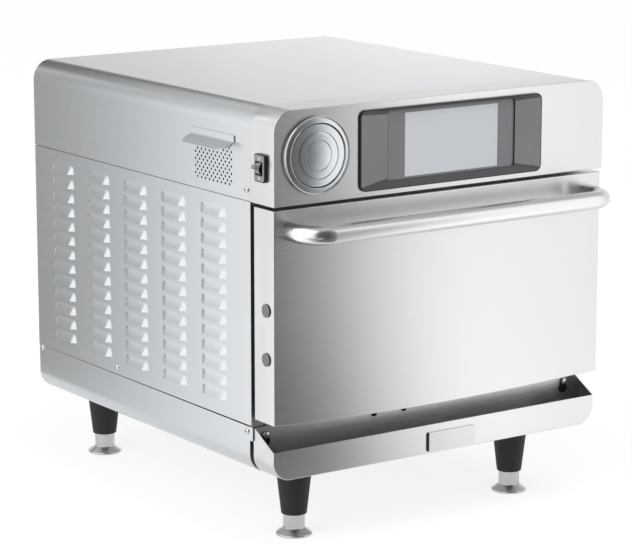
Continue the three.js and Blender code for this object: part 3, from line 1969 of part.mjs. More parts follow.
addPiece("upper_jetplate", makeJetplate(upperPlateZ, upperNozzleRows, upperNozzleColumns), satinSteel);
addPiece("wire_rack", makeRack(), brightSteel);
addPiece("return_air_grille", makeReturnGrille(), satinSteel);
addPiece("catalytic_converter", makeCatalyst(), ceramic);
addPiece("blower_housing", makeBlowerHousing(), dullSteel);
addPiece("blower_wheel", makeBlowerWheel(), dullSteel);
addPiece("blower_motor", makeBlowerMotor(), dullSteel);
addPiece("heater_coil", makeHeater(), dullSteel);
addPiece("waveguide", makeWaveguide(), dullSteel);
addPiece("stirrer", makeStirrer(), dullSteel);
addPiece("stirrer_motor", makeStirrerMotor(), dullSteel);
addPiece("fan_frame", makeFanFrame(), blackPlastic);
addPiece("cooling_fan", makeCoolingFan(), blackPlastic);
addPiece("electronics_shelf", makeShelf(), dullSteel);
addPiece("control_board", makeControlBoard(), boardGreen);
addPiece("cord_gland", makeCordGland(), blackPlastic);
addPiece("door_skin", makeDoorSkin(), satinSteel);
addPiece("door_inner_panel", makeDoorPanel(), satinSteel);
addPiece("door_gasket", makeGasket(), rubber);
addPiece("door_handle", makeHandle(), satinSteel);
for (const [word, side] of sides) {
  addPiece(`side_panel_${word}`, makeSidePanel(side), satinSteel);
  addPiece(`trough_screw_${word}`, makeThumbScrew(side), brightSteel);
  addPiece(`magnetron_${word}`, makeMagnetron(side), dullSteel);
  addPiece(`transformer_${word}`, makeTransformer(side), copperBrown);
  addPiece(`hinge_bracket_${word}`, makeHingeBracket(side), dullSteel);
  addPiece(`door_plug_lower_${word}`, makePlug(side, lowerPlugZ), greyPlastic);
  addPiece(`door_plug_upper_${word}`, makePlug(side, upperPlugZ), greyPlastic);
  for (const [end, y] of [
    ["front", frontFootY],
    ["rear", rearFootY],
  ]) {
    const x = side * footX;
    addPiece(`leg_${end}_${word}`, makeLeg(x, y), blackPlastic);
    addPiece(`foot_${end}_${word}`, makeFoot(x, y), brightSteel);
  }
}

export default oven;
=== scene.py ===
import math

import bmesh
import bpy
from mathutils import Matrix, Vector


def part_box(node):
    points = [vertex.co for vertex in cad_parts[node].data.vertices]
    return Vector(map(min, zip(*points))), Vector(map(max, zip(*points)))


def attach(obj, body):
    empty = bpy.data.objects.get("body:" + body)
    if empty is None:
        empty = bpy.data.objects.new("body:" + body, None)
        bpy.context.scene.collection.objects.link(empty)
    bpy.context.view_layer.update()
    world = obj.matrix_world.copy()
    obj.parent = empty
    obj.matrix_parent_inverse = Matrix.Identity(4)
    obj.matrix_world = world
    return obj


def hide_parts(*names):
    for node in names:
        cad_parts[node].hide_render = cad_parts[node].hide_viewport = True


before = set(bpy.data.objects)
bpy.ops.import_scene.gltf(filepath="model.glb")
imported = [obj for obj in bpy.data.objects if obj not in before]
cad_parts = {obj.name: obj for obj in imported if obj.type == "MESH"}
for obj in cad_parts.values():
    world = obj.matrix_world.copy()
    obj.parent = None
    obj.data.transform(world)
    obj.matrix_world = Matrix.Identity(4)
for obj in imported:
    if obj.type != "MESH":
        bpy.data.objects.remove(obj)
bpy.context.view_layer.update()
print("frame loaded:", len(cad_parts), "nodes")

# Places are in the oven's own millimetres: x from its middle, y from the console's face, z from the floor
shellValues = {"half": 269, "high": 584, "corner": 28, "cornerSteps": 12, "sheet": 1.2}
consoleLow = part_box("control_console")[0]
shiftX = consoleLow.x + shellValues["half"] / 1000
shiftY = consoleLow.y
scene = bpy.context.scene


def place(x, y, z):
    return Vector((x / 1000 + shiftX, y / 1000 + shiftY, z / 1000))


def ovenMm(point):
    return Vector(((point.x - shiftX) * 1000, (point.y - shiftY) * 1000, point.z * 1000))


# Camera, first because everything is judged through it
cameraValues = {
    "spot": (-2113.1, -2755.5, 1070.7),  # oven millimetres
    "yaw": 0.6056,
    "pitch": 0.2079,
    "focalPixels": 2687.6,
    "frameWidth": 632,
}
cameraData = bpy.data.cameras.new("camera")
camera = bpy.data.objects.new("camera", cameraData)
scene.collection.objects.link(camera)
camera.location = place(*cameraValues["spot"])
yaw, pitch = cameraValues["yaw"], cameraValues["pitch"]
forward = Vector((math.sin(yaw) * math.cos(pitch), math.cos(yaw) * math.cos(pitch), -math.sin(pitch)))
camera.rotation_euler = forward.to_track_quat("-Z", "Y").to_euler()
cameraData.sensor_width = 36
cameraData.lens = cameraValues["focalPixels"] / cameraValues["frameWidth"] * cameraData.sensor_width
scene.camera = camera
print("camera set")


# Modelling helpers
def deselect():
    if bpy.context.object and bpy.context.object.mode != "OBJECT":
        bpy.ops.object.mode_set(mode="OBJECT")
    bpy.ops.object.select_all(action="DESELECT")


def hold(piece):
    deselect()
    piece.select_set(True)
    bpy.context.view_layer.objects.active = piece


def settle(piece, name=None):
    hold(piece)
    bpy.ops.object.transform_apply(location=True, rotation=True, scale=True)
    if name:
        piece.name = name
        piece.data.name = name
    return piece


def block(name, x0, x1, y0, y1, z0, z1):
    deselect()
    low, high = place(min(x0, x1), y0, z0), place(max(x0, x1), y1, z1)
    bpy.ops.mesh.primitive_cube_add(size=1, location=(low + high) / 2)
    bpy.context.object.scale = high - low
    return settle(bpy.context.object, name)


def tray(name, v):  # a block with the same half width either side, from which a folded sheet is made
    return block(name, -v["half"], v["half"], v["front"], v["back"], v["low"], v["high"])


# Picks the corners, edges or faces that a rule says yes to. The rule gets a middle in oven millimetres and
# a direction: the normal of a corner or face, or the way an edge runs.
def pick(piece, kind, rule):
    if bpy.context.object != piece or piece.mode != "EDIT":
        hold(piece)
        bpy.ops.object.mode_set(mode="EDIT")
    bpy.ops.mesh.select_mode(type=kind)
    bpy.ops.mesh.select_all(action="DESELECT")
    cage = bmesh.from_edit_mesh(piece.data)
    if kind == "VERT":
        for corner in cage.verts:
            corner.select_set(bool(rule(ovenMm(corner.co), corner.normal)))
    elif kind == "EDGE":
        for edge in cage.edges:
            middle = (edge.verts[0].co + edge.verts[1].co) / 2
            run = (edge.verts[1].co - edge.verts[0].co).normalized()
            edge.select_set(bool(rule(ovenMm(middle), run)))
    else:
        cage.normal_update()
        for face in cage.faces:
            face.select_set(bool(rule(ovenMm(face.calc_center_median()), face.normal)))
    cage.select_flush_mode()
    bmesh.update_edit_mesh(piece.data)


def near(a, b, reach=0.05):
    return abs(a - b) < reach


straight = 0.9  # a direction with this share along an axis is taken to run along it


def runsAlong(run, axis):
    return abs(getattr(run, axis)) > straight


def runsAcross(run, axis):
    return abs(getattr(run, axis)) < 0.1


def bevelEdges(piece, width, segments, rule):
    pick(piece, "EDGE", rule)
    bpy.ops.mesh.bevel(offset_type="OFFSET", offset=width / 1000, segments=segments, affect="EDGES")


def pushPicked(x, y, z):
    bpy.ops.transform.translate(value=(x / 1000, y / 1000, z / 1000))


def extrudePicked(x, y, z):
    bpy.ops.mesh.extrude_region_move(TRANSFORM_OT_translate={"value": (x / 1000, y / 1000, z / 1000)})


def openFaces(piece, rule):
    pick(piece, "FACE", rule)
    bpy.ops.mesh.delete(type="FACE")


def bisectAt(axis, at):  # a line of new edges right round a piece that is being edited
    along = [1.0 if letter == axis else 0.0 for letter in "xyz"]
    bpy.ops.mesh.select_all(action="SELECT")
    bpy.ops.mesh.bisect(plane_co=place(*[at * share for share in along]), plane_no=along)


def paintFaces(piece, finishes, *rules):  # one finish for the piece, then one for each rule's faces
    for finish in finishes:
        piece.data.materials.append(finish)
    for index, rule in enumerate(rules, 1):
        pick(piece, "FACE", rule)
        piece.active_material_index = index
        bpy.ops.object.material_slot_assign()
    deselect()


def modify(piece, kind, **settings):
    hold(piece)
    modifier = piece.modifiers.new(kind.title(), kind)
    for name, value in settings.items():
        setattr(modifier, name, value)
    bpy.ops.object.modifier_apply(modifier=modifier.name)
    return piece


def array(piece, count, y=0, z=0, **settings):
    return modify(piece, "ARRAY", count=count, use_relative_offset=False, use_constant_offset=True,
                  constant_offset_displace=(0, y / 1000, z / 1000), **settings)


def thicken(piece, wall):
    return modify(piece, "SOLIDIFY", thickness=wall / 1000, offset=-1, use_even_offset=True)


def cut(piece, *tools):
    for tool in tools:
        modify(piece, "BOOLEAN", operation="DIFFERENCE", object=tool, solver="EXACT")
        bpy.data.objects.remove(tool)


def joinPieces(pieces, name):
    deselect()
    for piece in pieces:
        piece.select_set(True)
    bpy.context.view_layer.objects.active = pieces[0]
    bpy.ops.object.join()
    return settle(bpy.context.object, name)


def faceOut(piece):
    hold(piece)
    bpy.ops.object.mode_set(mode="EDIT")
    bpy.ops.mesh.select_all(action="SELECT")
    bpy.ops.mesh.remove_doubles(threshold=0.000001)
    bpy.ops.mesh.normals_make_consistent(inside=False)
    bpy.ops.object.mode_set(mode="OBJECT")


def mirrored(piece, name):  # the same piece on the other side of the oven's middle
    made = piece.copy()
    made.data = piece.data.copy()
    scene.collection.objects.link(made)
    made.scale.x = -1
    made.location.x = 2 * shiftX
    settle(made, name)
    faceOut(made)
    return made


def smooth(piece, angle=35, weighted=True):
    hold(piece)
    bpy.ops.object.shade_smooth_by_angle(angle=math.radians(angle))
    if weighted:  # flat faces beside a rounding stay flat to the eye
        modify(piece, "WEIGHTED_NORMAL", keep_sharp=True)
    return piece


def turnAbout(piece, degrees, axis, centre):
    hold(piece)
    bpy.ops.object.mode_set(mode="EDIT")
    bpy.ops.mesh.select_all(action="SELECT")
    bpy.ops.transform.rotate(value=math.radians(degrees), orient_axis=axis, center_override=centre)
    bpy.ops.object.mode_set(mode="OBJECT")
    return piece


# A turned piece: a disc is extruded and resized through [radius, height] pairs, then tipped onto its axis
axisTips = {"Z": (0, 0, 0), "Y": (-math.pi / 2, 0, 0), "-Y": (math.pi / 2, 0, 0), "X": (0, math.pi / 2, 0),
            "-X": (0, -math.pi / 2, 0)}


def turn(name, profile, sides, x, y, z, axis="Z"):
    deselect()
    radius, height = profile[0]
    bpy.ops.mesh.primitive_circle_add(vertices=sides, radius=radius / 1000, fill_type="NGON",
                                      location=(0, 0, height / 1000))
    piece = settle(bpy.context.object, name)
    bpy.ops.object.mode_set(mode="EDIT")
    bpy.ops.mesh.select_mode(type="FACE")
    bpy.ops.mesh.select_all(action="SELECT")
    for radiusNext, heightNext in profile[1:]:
        extrudePicked(0, 0, heightNext - height)
        share = radiusNext / radius
        bpy.ops.transform.resize(value=(share, share, 1), center_override=(0, 0, heightNext / 1000))
        radius, height = radiusNext, heightNext
    bpy.ops.object.mode_set(mode="OBJECT")
    piece.rotation_euler = axisTips[axis]
    piece.location = place(x, y, z)
    settle(piece)
    faceOut(piece)
    return piece


def roundCorners(piece, z, half, corner):  # the two at one height that run from front to back
    bevelEdges(piece, corner, shellValues["cornerSteps"],
               lambda c, n: near(c.z, z) and near(abs(c.x), half) and runsAlong(n, "y"))


def shell(name, values):  # a tray as wide and high as the oven, with its upper corners rounded
    v = {**shellValues, **values}
    piece = tray(name, v)
    roundCorners(piece, v["high"], v["half"], v["corner"])
    return piece


def fit(piece, body, finish, slotName, *nodes):
    if finish:
        piece.data.materials.clear()
        piece.data.materials.append(finish)
    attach(piece, body)
    if nodes:
        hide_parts(*nodes)


domeSteps = 5
domeEnd = 0.97  # share of the quarter turn at which a dome ends in a small flat


def domeProfile(radius, height, base):  # [radius, height] pairs from a dome's rim to nearly its top
    turns = [math.pi / 2 * i / domeSteps for i in range(domeSteps)] + [math.pi / 2 * domeEnd]
    return [[radius * math.cos(t), base + height * math.sin(t)] for t in turns]


# A domed screw head with a cross recess, whose arms and depth are shares of the radius and rise
screwValues = {"sides": 28, "sunk": 0.2, "arm": 0.55, "deep": 0.45, "past": 1}


def screwHead(x, y, z, axis, radius=4.2, rise=2.4, skirt=0.6, crossHalf=0.5):
    v = screwValues
    profile = [[radius, -v["sunk"]]] + domeProfile(radius, rise, skirt)
    piece = turn("head", profile, v["sides"], x, y, z, axis)
    arm = radius * v["arm"]
    deep = rise * v["deep"]
    top = rise + skirt + v["past"]
    sign = -1 if axis == "-X" else 1
    for wide, tall in ((arm, crossHalf), (crossHalf, arm)):
        if axis == "Y":
            run = [x - wide, x + wide, y + deep, y + top]
        else:
            run = [x + sign * deep, x + sign * top, y - wide, y + wide]
        cut(piece, block("recess", *run, z - tall, z + tall))
    return smooth(piece, 40)


# Materials
def paint(hexText):  # sRGB hex to linear
    parts = [int(hexText[i:i + 2], 16) / 255 for i in (1, 3, 5)]
    return tuple(c / 12.92 if c <= 0.04045 else ((c + 0.055) / 1.055) ** 2.4 for c in parts) + (1,)


def addNode(tree, kind, values=None, links=None, **settings):
    made = tree.nodes.new("ShaderNode" + kind)
    for name, value in settings.items():
        setattr(made, name, value)
    for name, value in (values or {}).items():
        made.inputs[name].default_value = value
    for name, source in (links or {}).items():
        tree.links.new(source, made.inputs[name])
    return made


def emptyTree(owner):
    owner.use_nodes = True
    owner.node_tree.nodes.clear()
    return owner.node_tree


def startFinish(name):
    finish = bpy.data.materials.new(name)
    tree = emptyTree(finish)
    return finish, tree, addNode(tree, "TexCoord").outputs["Object"]


def noise(tree, coords, scale, detail, roughness=0.5):
    return addNode(tree, "TexNoise", {"Scale": scale, "Detail": detail, "Roughness": roughness},
                   {"Vector": coords}).outputs["Fac"]


def blend(tree, share, first, second):
    return addNode(tree, "Mix", {"Factor": share}, {"A": first, "B": second}).outputs[0]


# The end of each finish: a tone between dark and light, a roughness and a bump, each led by a noise
noiseSpan = [0.3, 0.7]  # the part of a noise's range that it mostly uses


def closeFinish(tree, tones, toneNoise, roughs, roughNoise, bump, bumpMm, bumpNoise, values, grain=None):
    tone = addNode(tree, "Mix", {"A": paint(tones[1]), "B": paint(tones[0])}, {"Factor": toneNoise},
                   data_type="RGBA")
    rough = addNode(tree, "MapRange", {"From Min": noiseSpan[0], "From Max": noiseSpan[1],
                                       "To Min": roughs[0], "To Max": roughs[1]}, {"Value": roughNoise})
    relief = addNode(tree, "Bump", {"Strength": bump, "Distance": bumpMm / 1000}, {"Height": bumpNoise})
    links = {"Base Color": tone.outputs["Result"], "Roughness": rough.outputs[0],
             "Normal": relief.outputs[0]}
    if grain:
        links["Tangent"] = addNode(tree, "Tangent", direction_type="RADIAL", axis=grain).outputs[0]
    shader = addNode(tree, "BsdfPrincipled", values, links)
    addNode(tree, "OutputMaterial", links={"Surface": shader.outputs[0]})


# Brushed stainless sheet, belt-ground along one axis: reflections smear across the grain.
# Grit 180 leaves lines about 0.1 mm apart; they are drawn 0.9 mm apart so that they show at this size.
brushedValues = {"lineMm": 0.9, "lineRun": 120, "detail": 3.0, "broken": 0.65, "cloudMm": 160,
                 "cloudDetail": 2.0, "cloudShare": 0.35, "bump": 0.07, "bumpMm": 0.004, "smear": 0.6}


def brushedSteel(name, grain, light, dark, roughLow, roughHigh):
    v = brushedValues
    finish, tree, coords = startFinish(name)
    lines = 1000 / v["lineMm"]
    stretch = [lines / v["lineRun"] if letter == grain else lines for letter in "XYZ"]
    turned = addNode(tree, "Mapping", {"Scale": stretch}, {"Vector": coords})
    streaks = noise(tree, turned.outputs[0], 1.0, v["detail"], v["broken"])
    clouds = noise(tree, coords, 1000 / v["cloudMm"], v["cloudDetail"])
    both = blend(tree, v["cloudShare"], streaks, clouds)
    closeFinish(tree, (light, dark), both, (roughLow, roughHigh), streaks, v["bump"], v["bumpMm"], streaks,
                {"Metallic": 1.0, "Anisotropic": v["smear"]}, grain)
    return finish


# Metal without a grain direction: blasted, plated or mill finished, with a fine speckle
plainValues = {"detail": 4.0, "broken": 0.6, "cloudSpecks": 40, "cloudDetail": 2.0, "cloudShare": 0.5,
               "bump": 0.3}


def plainMetal(name, light, dark, speckMm, roughLow, roughHigh, bumpMm):
    v = plainValues
    finish, tree, coords = startFinish(name)
    specks = noise(tree, coords, 1000 / speckMm, v["detail"], v["broken"])
    clouds = noise(tree, coords, 1000 / (speckMm * v["cloudSpecks"]), v["cloudDetail"])
    both = blend(tree, v["cloudShare"], specks, clouds)
    closeFinish(tree, (light, dark), both, (roughLow, roughHigh), both, v["bump"], bumpMm, specks,
                {"Metallic": 1.0})
    return finish


# Metal finished on a lathe: fine rings round the piece's own axis, along which a highlight opens into a fan
ringValues = {"detail": 3.0, "broken": 0.7, "bump": 0.2, "bumpMm": 0.01, "smear": 0.25}


def ringTurned(name, middle, light, dark, ringMm, roughLow, roughHigh):
    v = ringValues
    finish, tree, coords = startFinish(name)
    centre = place(*middle)
    centred = addNode(tree, "Mapping", {"Location": (-centre.x, 0, -centre.z), "Scale": (1, 0, 1)},
                      {"Vector": coords})
    radius = addNode(tree, "VectorMath", {}, {0: centred.outputs[0]}, operation="LENGTH")
    values = {"Scale": 1000 / ringMm, "Detail": v["detail"], "Roughness": v["broken"]}
    rings = addNode(tree, "TexNoise", values, {"W": radius.outputs["Value"]},
                    noise_dimensions="1D").outputs["Fac"]
    closeFinish(tree, (light, dark), rings, (roughLow, roughHigh), rings, v["bump"], v["bumpMm"], rings,
                {"Metallic": 1.0, "Anisotropic": v["smear"]}, "Y")
    return finish


# Moulded or pressed non-metal: a fine spark-eroded texture and a slight unevenness of tone
mouldedValues = {"detail": 3.0, "broken": 0.7, "cloudGrains": 50, "cloudDetail": 1.0, "bump": 0.4}


def mouldedFinish(name, light, dark, grainMm, roughLow, roughHigh, bumpMm, ior=1.5):
    v = mouldedValues
    finish, tree, coords = startFinish(name)
    pits = noise(tree, coords, 1000 / grainMm, v["detail"], v["broken"])
    clouds = noise(tree, coords, 1000 / (grainMm * v["cloudGrains"]), v["cloudDetail"])
    closeFinish(tree, (light, dark), clouds, (roughLow, roughHigh), pits, v["bump"], bumpMm, pits,
                {"IOR": ior})
    return finish


frontSteel = brushedSteel("brushed stainless, grain across", "X", "#cfcfcf", "#cbcbcb", 0.27, 0.3)
sideSteel = brushedSteel("brushed stainless, grain front to back", "Y", "#cccfd1", "#c8cbce", 0.27, 0.3)
tubeSteel = plainMetal("satin stainless tube", "#dededd", "#d2d2d2", 1.2, 0.24, 0.32, 0.01)
chrome = ringTurned("chrome on a face turned in rings", (-205, 0, 523.5), "#d6dade", "#c4c8cc",
                    0.7, 0.24, 0.32)
turnedSteel = plainMetal("turned bright steel", "#cdcdcc", "#b2b2b1", 0.9, 0.2, 0.32, 0.02)
zincSteel = plainMetal("zinc plated steel", "#a9adb0", "#8f9498", 3.0, 0.4, 0.6, 0.02)
blackNylon = mouldedFinish("black glass filled nylon", "#151517", "#101012", 0.8, 0.55, 0.7, 0.03)
blackPlastic = mouldedFinish("black phenolic", "#19191a", "#121213", 0.7, 0.35, 0.5, 0.02)
paleAnodised = plainMetal("pale anodised sheet", "#d3d5d7", "#c9cbcd", 0.8, 0.3, 0.4, 0.004)
# The bezel's grey ABS comes twice: the plain tone, and a darker copy that paints shade onto the bars above
# and below the screen
bezelPaintedShade = mouldedFinish("grey ABS, textured, darkened as painted shade", "#4c4a4c", "#454346", 0.9, 0.3, 0.45, 0.02)
bezelPlastic = mouldedFinish("grey ABS, textured", "#8d8a8d", "#848184", 0.9, 0.3, 0.45, 0.02)
sealRubber = mouldedFinish("black silicone rubber", "#161616", "#0f0f0f", 1.2, 0.6, 0.8, 0.03, ior=1.43)
plugPlastic = mouldedFinish("grey nylon plug", "#8a8a8a", "#7b7b7b", 0.8, 0.4, 0.55, 0.02)
palePlastic = mouldedFinish("pale grey nylon", "#a7a7a9", "#9c9c9e", 0.8, 0.35, 0.5, 0.02)
screwSteel = plainMetal("polished steel screw", "#d6d6d6", "#c6c6c6", 1.0, 0.16, 0.24, 0.005)
fibreBlanket = mouldedFinish("ceramic fibre blanket", "#e6e1d4", "#cfc9ba", 1.5, 0.9, 1.0, 0.6)
catalystBrick = mouldedFinish("coated cordierite", "#a59a8a", "#857a6c", 1.0, 0.8, 0.95, 0.1)
copperCoil = plainMetal("enamelled copper winding", "#9a6a48", "#6b452c", 0.8, 0.35, 0.5, 0.05)
boardEpoxy = mouldedFinish("green solder mask on epoxy board", "#2f6a4a", "#24553b", 2.0, 0.35, 0.5, 0.02)
displayGlass = mouldedFinish("grey tinted cover glass", "#858386", "#7d7b7e", 60, 0.05, 0.09, 0.0005)
displayLit = mouldedFinish("lit display under glass", "#e6eaf0", "#dfe3ea", 80, 0.06, 0.1, 0.0005)
print("materials made")

# Console
consoleValues = {"front": 0, "back": 54, "low": 462, "edge": 0.8,
                 "screenHole": [-99.1, 120.4, -2, 3.2, 474.5, 574.0],
                 "switchHole": [-271, -265.8, 18.5, 36.5, 494, 522]}
v = consoleValues
console = shell("console_shell", v)
openFaces(console, lambda c, n: n.y > straight)
bevelEdges(console, v["edge"], 3, lambda c, n: near(c.y, v["front"]) and runsAcross(n, "y"))
deselect()
thicken(console, shellValues["sheet"])
cut(console, block("screen_cut", *v["screenHole"]), block("switch_cut", *v["switchHole"]))
smooth(console)
fit(console, "oven_body", frontSteel, "satin_steel", "control_console")

# Top cover with its round vent holes
coverValues = {"front": 54.25, "back": 618, "low": 462.5, "hole": 1.75, "sides": 10, "wallMiddle": -268.4,
               "drillHalf": 3, "ventFront": 98.3, "ventTop": 529.5, "pitchY": 4.75, "pitchZ": 9.4,
               "columns": 19, "rows": 6}
v = coverValues
cover = shell("top_cover_shell", v)
openFaces(cover, lambda c, n: runsAlong(n, "y") or n.z < -straight)
deselect()
thicken(cover, shellValues["sheet"])


def ventDrill(name, y, z, columns):
    drill = turn(name, [[v["hole"], -v["drillHalf"]], [v["hole"], v["drillHalf"]]], v["sides"],
                 v["wallMiddle"], y, z, "X")
    array(drill, columns, y=v["pitchY"] * 2)
    return array(drill, v["rows"], z=-v["pitchZ"])


cut(cover, ventDrill("drill_even", v["ventFront"], v["ventTop"], (v["columns"] + 1) // 2),
    ventDrill("drill_odd", v["ventFront"] + v["pitchY"], v["ventTop"] - v["pitchZ"] / 2, v["columns"] // 2))
smooth(cover)
fit(cover, "oven_body", sideSteel, "satin_steel", "top_cover")

# Hood over the vent holes
hoodValues = {"outer": -270.3, "inner": -269.4, "front": 90, "back": 192.5, "fold": 533.5, "flange": 9,
              "reach": 19.3, "drop": 8, "sheet": 1, "corner": 13, "cornerSteps": 8, "bend": 2}
v = hoodValues
hood = block("vent_hood_folded", v["outer"], v["inner"], v["front"], v["back"], v["fold"],
             v["fold"] + v["flange"])
openFaces(hood, lambda c, n: n.x > -straight)
pick(hood, "EDGE", lambda c, n: near(c.z, v["fold"]))
extrudePicked(-v["reach"], 0, -v["drop"])
pick(hood, "VERT", lambda c, n: near(c.x, v["outer"] - v["reach"], 0.2))
bpy.ops.mesh.bevel(offset_type="OFFSET", offset=v["corner"] / 1000, segments=v["cornerSteps"],
                   affect="VERTICES")
bevelEdges(hood, v["bend"], 4, lambda c, n: near(c.z, v["fold"]) and near(c.x, v["outer"], 0.2))
deselect()
thicken(hood, v["sheet"])
faceOut(hood)
smooth(hood, 50)
fit(hood, "oven_body", sideSteel, "satin_steel", "vent_hood")
print("console, cover and hood made")

# Louvred side panels: one louvre's cell is shaped, arrayed into the field, and run out to the panel's edges
louvreValues = {"face": -269, "pitchY": 98.7, "pitchZ": 20.3, "columns": 5, "rows": 13,
                "firstMiddle": 142.5, "lastLow": 189.1, "below": 3.7, "length": 59, "rise": 12.9,
                "reach": 5, "endRun": 8, "slopePower": 1.4,
                "endPlaces": [-1.5, 0, 1.2, 2.6, 4.2, 6, 8, 11],  # from an end inwards
                "upPlaces": [0, 2.4, 5, 7.6, 10, 11.8, 12.9, 14.1], "sheet": 1.2, "smoothTo": 60,
                "front": 54.6, "back": 617.7, "low": 167.6, "high": 461.7}
v = louvreValues
cellFront = v["firstMiddle"] - v["pitchY"] / 2
cellLow = v["lastLow"] - v["below"]
half = v["length"] / 2
deselect()
bpy.ops.mesh.primitive_plane_add(size=1, rotation=(0, -math.pi / 2, 0))
sidePanel = bpy.context.object
sidePanel.scale = (v["pitchZ"] / 1000, v["pitchY"] / 1000, 1)
sidePanel.location = place(v["face"], v["firstMiddle"], cellLow + v["pitchZ"] / 2)
settle(sidePanel, "side_panel_left_louvred")
hold(sidePanel)
bpy.ops.object.mode_set(mode="EDIT")
for e in v["endPlaces"]:
    bisectAt("y", v["firstMiddle"] - (half - e))
    bisectAt("y", v["firstMiddle"] + (half - e))
for e in v["upPlaces"]:
    bisectAt("z", v["lastLow"] + e)
# the lip is split from the sheet below it
pick(sidePanel, "EDGE", lambda c, n: near(c.z, v["lastLow"]) and abs(c.y - v["firstMiddle"]) < half
     and runsAlong(n, "y"))
bpy.ops.mesh.edge_split(type="EDGE")


def louvreShape(alongShare, upShare):  # how far out a point of the louvre stands, as a share of its reach
    end = min(1, (1 - alongShare) * half / v["endRun"])
    return end * end * (3 - 2 * end) * (1 - upShare) ** v["slopePower"]


def aboveLip(face):
    return ovenMm(face.calc_center_median()).z > v["lastLow"]


pick(sidePanel, "VERT", lambda c, n: False)
cage = bmesh.from_edit_mesh(sidePanel.data)
onLouvre = [corner for corner in cage.verts if all(aboveLip(face) for face in corner.link_faces)]
for corner in onLouvre:
    c = ovenMm(corner.co)
    alongShare = abs(c.y - v["firstMiddle"]) / half
    upShare = max((c.z - v["lastLow"]) / v["rise"], 0)
    if alongShare < 1 and upShare < 1:
        corner.co.x -= louvreShape(alongShare, upShare) * v["reach"] / 1000
bmesh.update_edit_mesh(sidePanel.data)
deselect()
array(sidePanel, v["columns"], y=v["pitchY"], use_merge_vertices=True, merge_threshold=0.0001)
array(sidePanel, v["rows"], z=v["pitchZ"], use_merge_vertices=True, merge_threshold=0.0001)
fieldBack = cellFront + v["columns"] * v["pitchY"]
fieldHigh = cellLow + v["rows"] * v["pitchZ"]
for edgePlace, target, axis in ((cellFront, v["front"], "y"), (fieldBack, v["back"], "y"),
                                (cellLow, v["low"], "z"), (fieldHigh, v["high"], "z")):
    pick(sidePanel, "EDGE", lambda c, n: near(getattr(c, axis), edgePlace) and runsAcross(n, axis))
    step = target - edgePlace
    extrudePicked(0, step if axis == "y" else 0, step if axis == "z" else 0)
deselect()
thicken(sidePanel, v["sheet"])
smooth(sidePanel, v["smoothTo"], weighted=False)
sidePanelRight = mirrored(sidePanel, "side_panel_right_louvred")
smooth(sidePanelRight, v["smoothTo"], weighted=False)
fit(sidePanel, "oven_body", sideSteel, "satin_steel", "side_panel_left")
fit(sidePanelRight, "oven_body", sideSteel, "satin_steel", "side_panel_right")
print("side panels made:", len(sidePanel.data.polygons), "faces each")

# Base pan, with a lug either side that the trough hooks behind and a tab up behind the back panel
baseValues = {"half": 268.9, "front": 58.5, "back": 617.4, "low": 102, "high": 167.3, "corner": 26.5,
              "sheet": 1.5, "edge": 1, "frontDrop": 1.8, "lug": [51.5, 58, 147.5, 166], "lugIn": 0.8,
              "lugOut": 0.3, "lugRound": 1.2, "tabHalf": 267.4, "tab": [160, 176]}
v = baseValues
base = tray("base_pan_shell", v)
roundCorners(base, v["low"], v["half"], v["corner"])
openFaces(base, lambda c, n: n.z > straight)
bevelEdges(base, v["edge"], 2,
           lambda c, n: (near(c.y, v["front"]) or near(c.y, v["back"])) and runsAcross(n, "y"))
pick(base, "VERT", lambda c, n: near(c.y, v["front"], 1.2) and near(c.z, v["high"]))
pushPicked(0, 0, -v["frontDrop"])
deselect()
thicken(base, v["sheet"])
lugs = []
for s in (-1, 1):
    lug = block("lug", s * (v["half"] - v["lugIn"]), s * (v["half"] + v["lugOut"]), *v["lug"])
    bevelEdges(lug, v["lugRound"], 3, lambda c, n: runsAlong(n, "x"))
    deselect()
    lugs.append(lug)
rearTab = block("rear_tab", -v["tabHalf"], v["tabHalf"], v["back"] - v["sheet"], v["back"], *v["tab"])
base = joinPieces([base, rearTab] + lugs, "base_pan_shell")
smooth(base)
fit(base, "oven_body", sideSteel, "satin_steel", "base_pan")

# Domed screws that hold the side sheets, at [y, z] on each side
sideScrewPlaces = [[64, 159], [62, 476.5], [607, 164.1], [393.3, 177.1]]
for sideName, s in (("left", -1), ("right", 1)):
    heads = []
    for y, z in sideScrewPlaces:
        wallHalf = shellValues["half"] if z > baseValues["high"] else baseValues["half"]
        heads.append(screwHead(s * wallHalf, y, z, "X" if s > 0 else "-X"))
    screws = joinPieces(heads, f"side_screws_{sideName}")
    fit(screws, "oven_body", screwSteel, "bright_steel")

# Crumb trough: sloping cheeks, a front wall and an upright back wall, with keyholes for its screws
troughValues = {"half": 267.2, "front": 5.9, "back": 52, "low": 102, "high": 165.5, "corner": 26.2,
                "sheet": 1.2, "edge": 1, "lipY": 7.1, "lipZ": 142.1, "slopeEndY": 49.5,
                "wallLow": 120, "wallIn": 1}
v = troughValues
trough = tray("crumb_trough_pan", v)
roundCorners(trough, v["low"], v["half"], v["corner"])
bpy.ops.mesh.select_all(action="SELECT")
slope = Vector((0, v["slopeEndY"] - v["lipY"], v["high"] - v["lipZ"])).normalized()
bpy.ops.mesh.bisect(plane_co=place(0, v["lipY"], v["lipZ"]), plane_no=(0, -slope.z, slope.y),
                    clear_outer=True)
openFaces(trough, lambda c, n: n.z > straight or n.y > straight)
bevelEdges(trough, v["edge"], 3,
           lambda c, n: near(c.y, v["front"]) and runsAcross(n, "y") and c.z < v["lipZ"] - 1)
deselect()
thicken(trough, v["sheet"])
troughWall = block("trough_wall", -v["half"] + v["wallIn"], v["half"] - v["wallIn"], v["back"] - v["sheet"],
                   v["back"], v["wallLow"], v["high"])

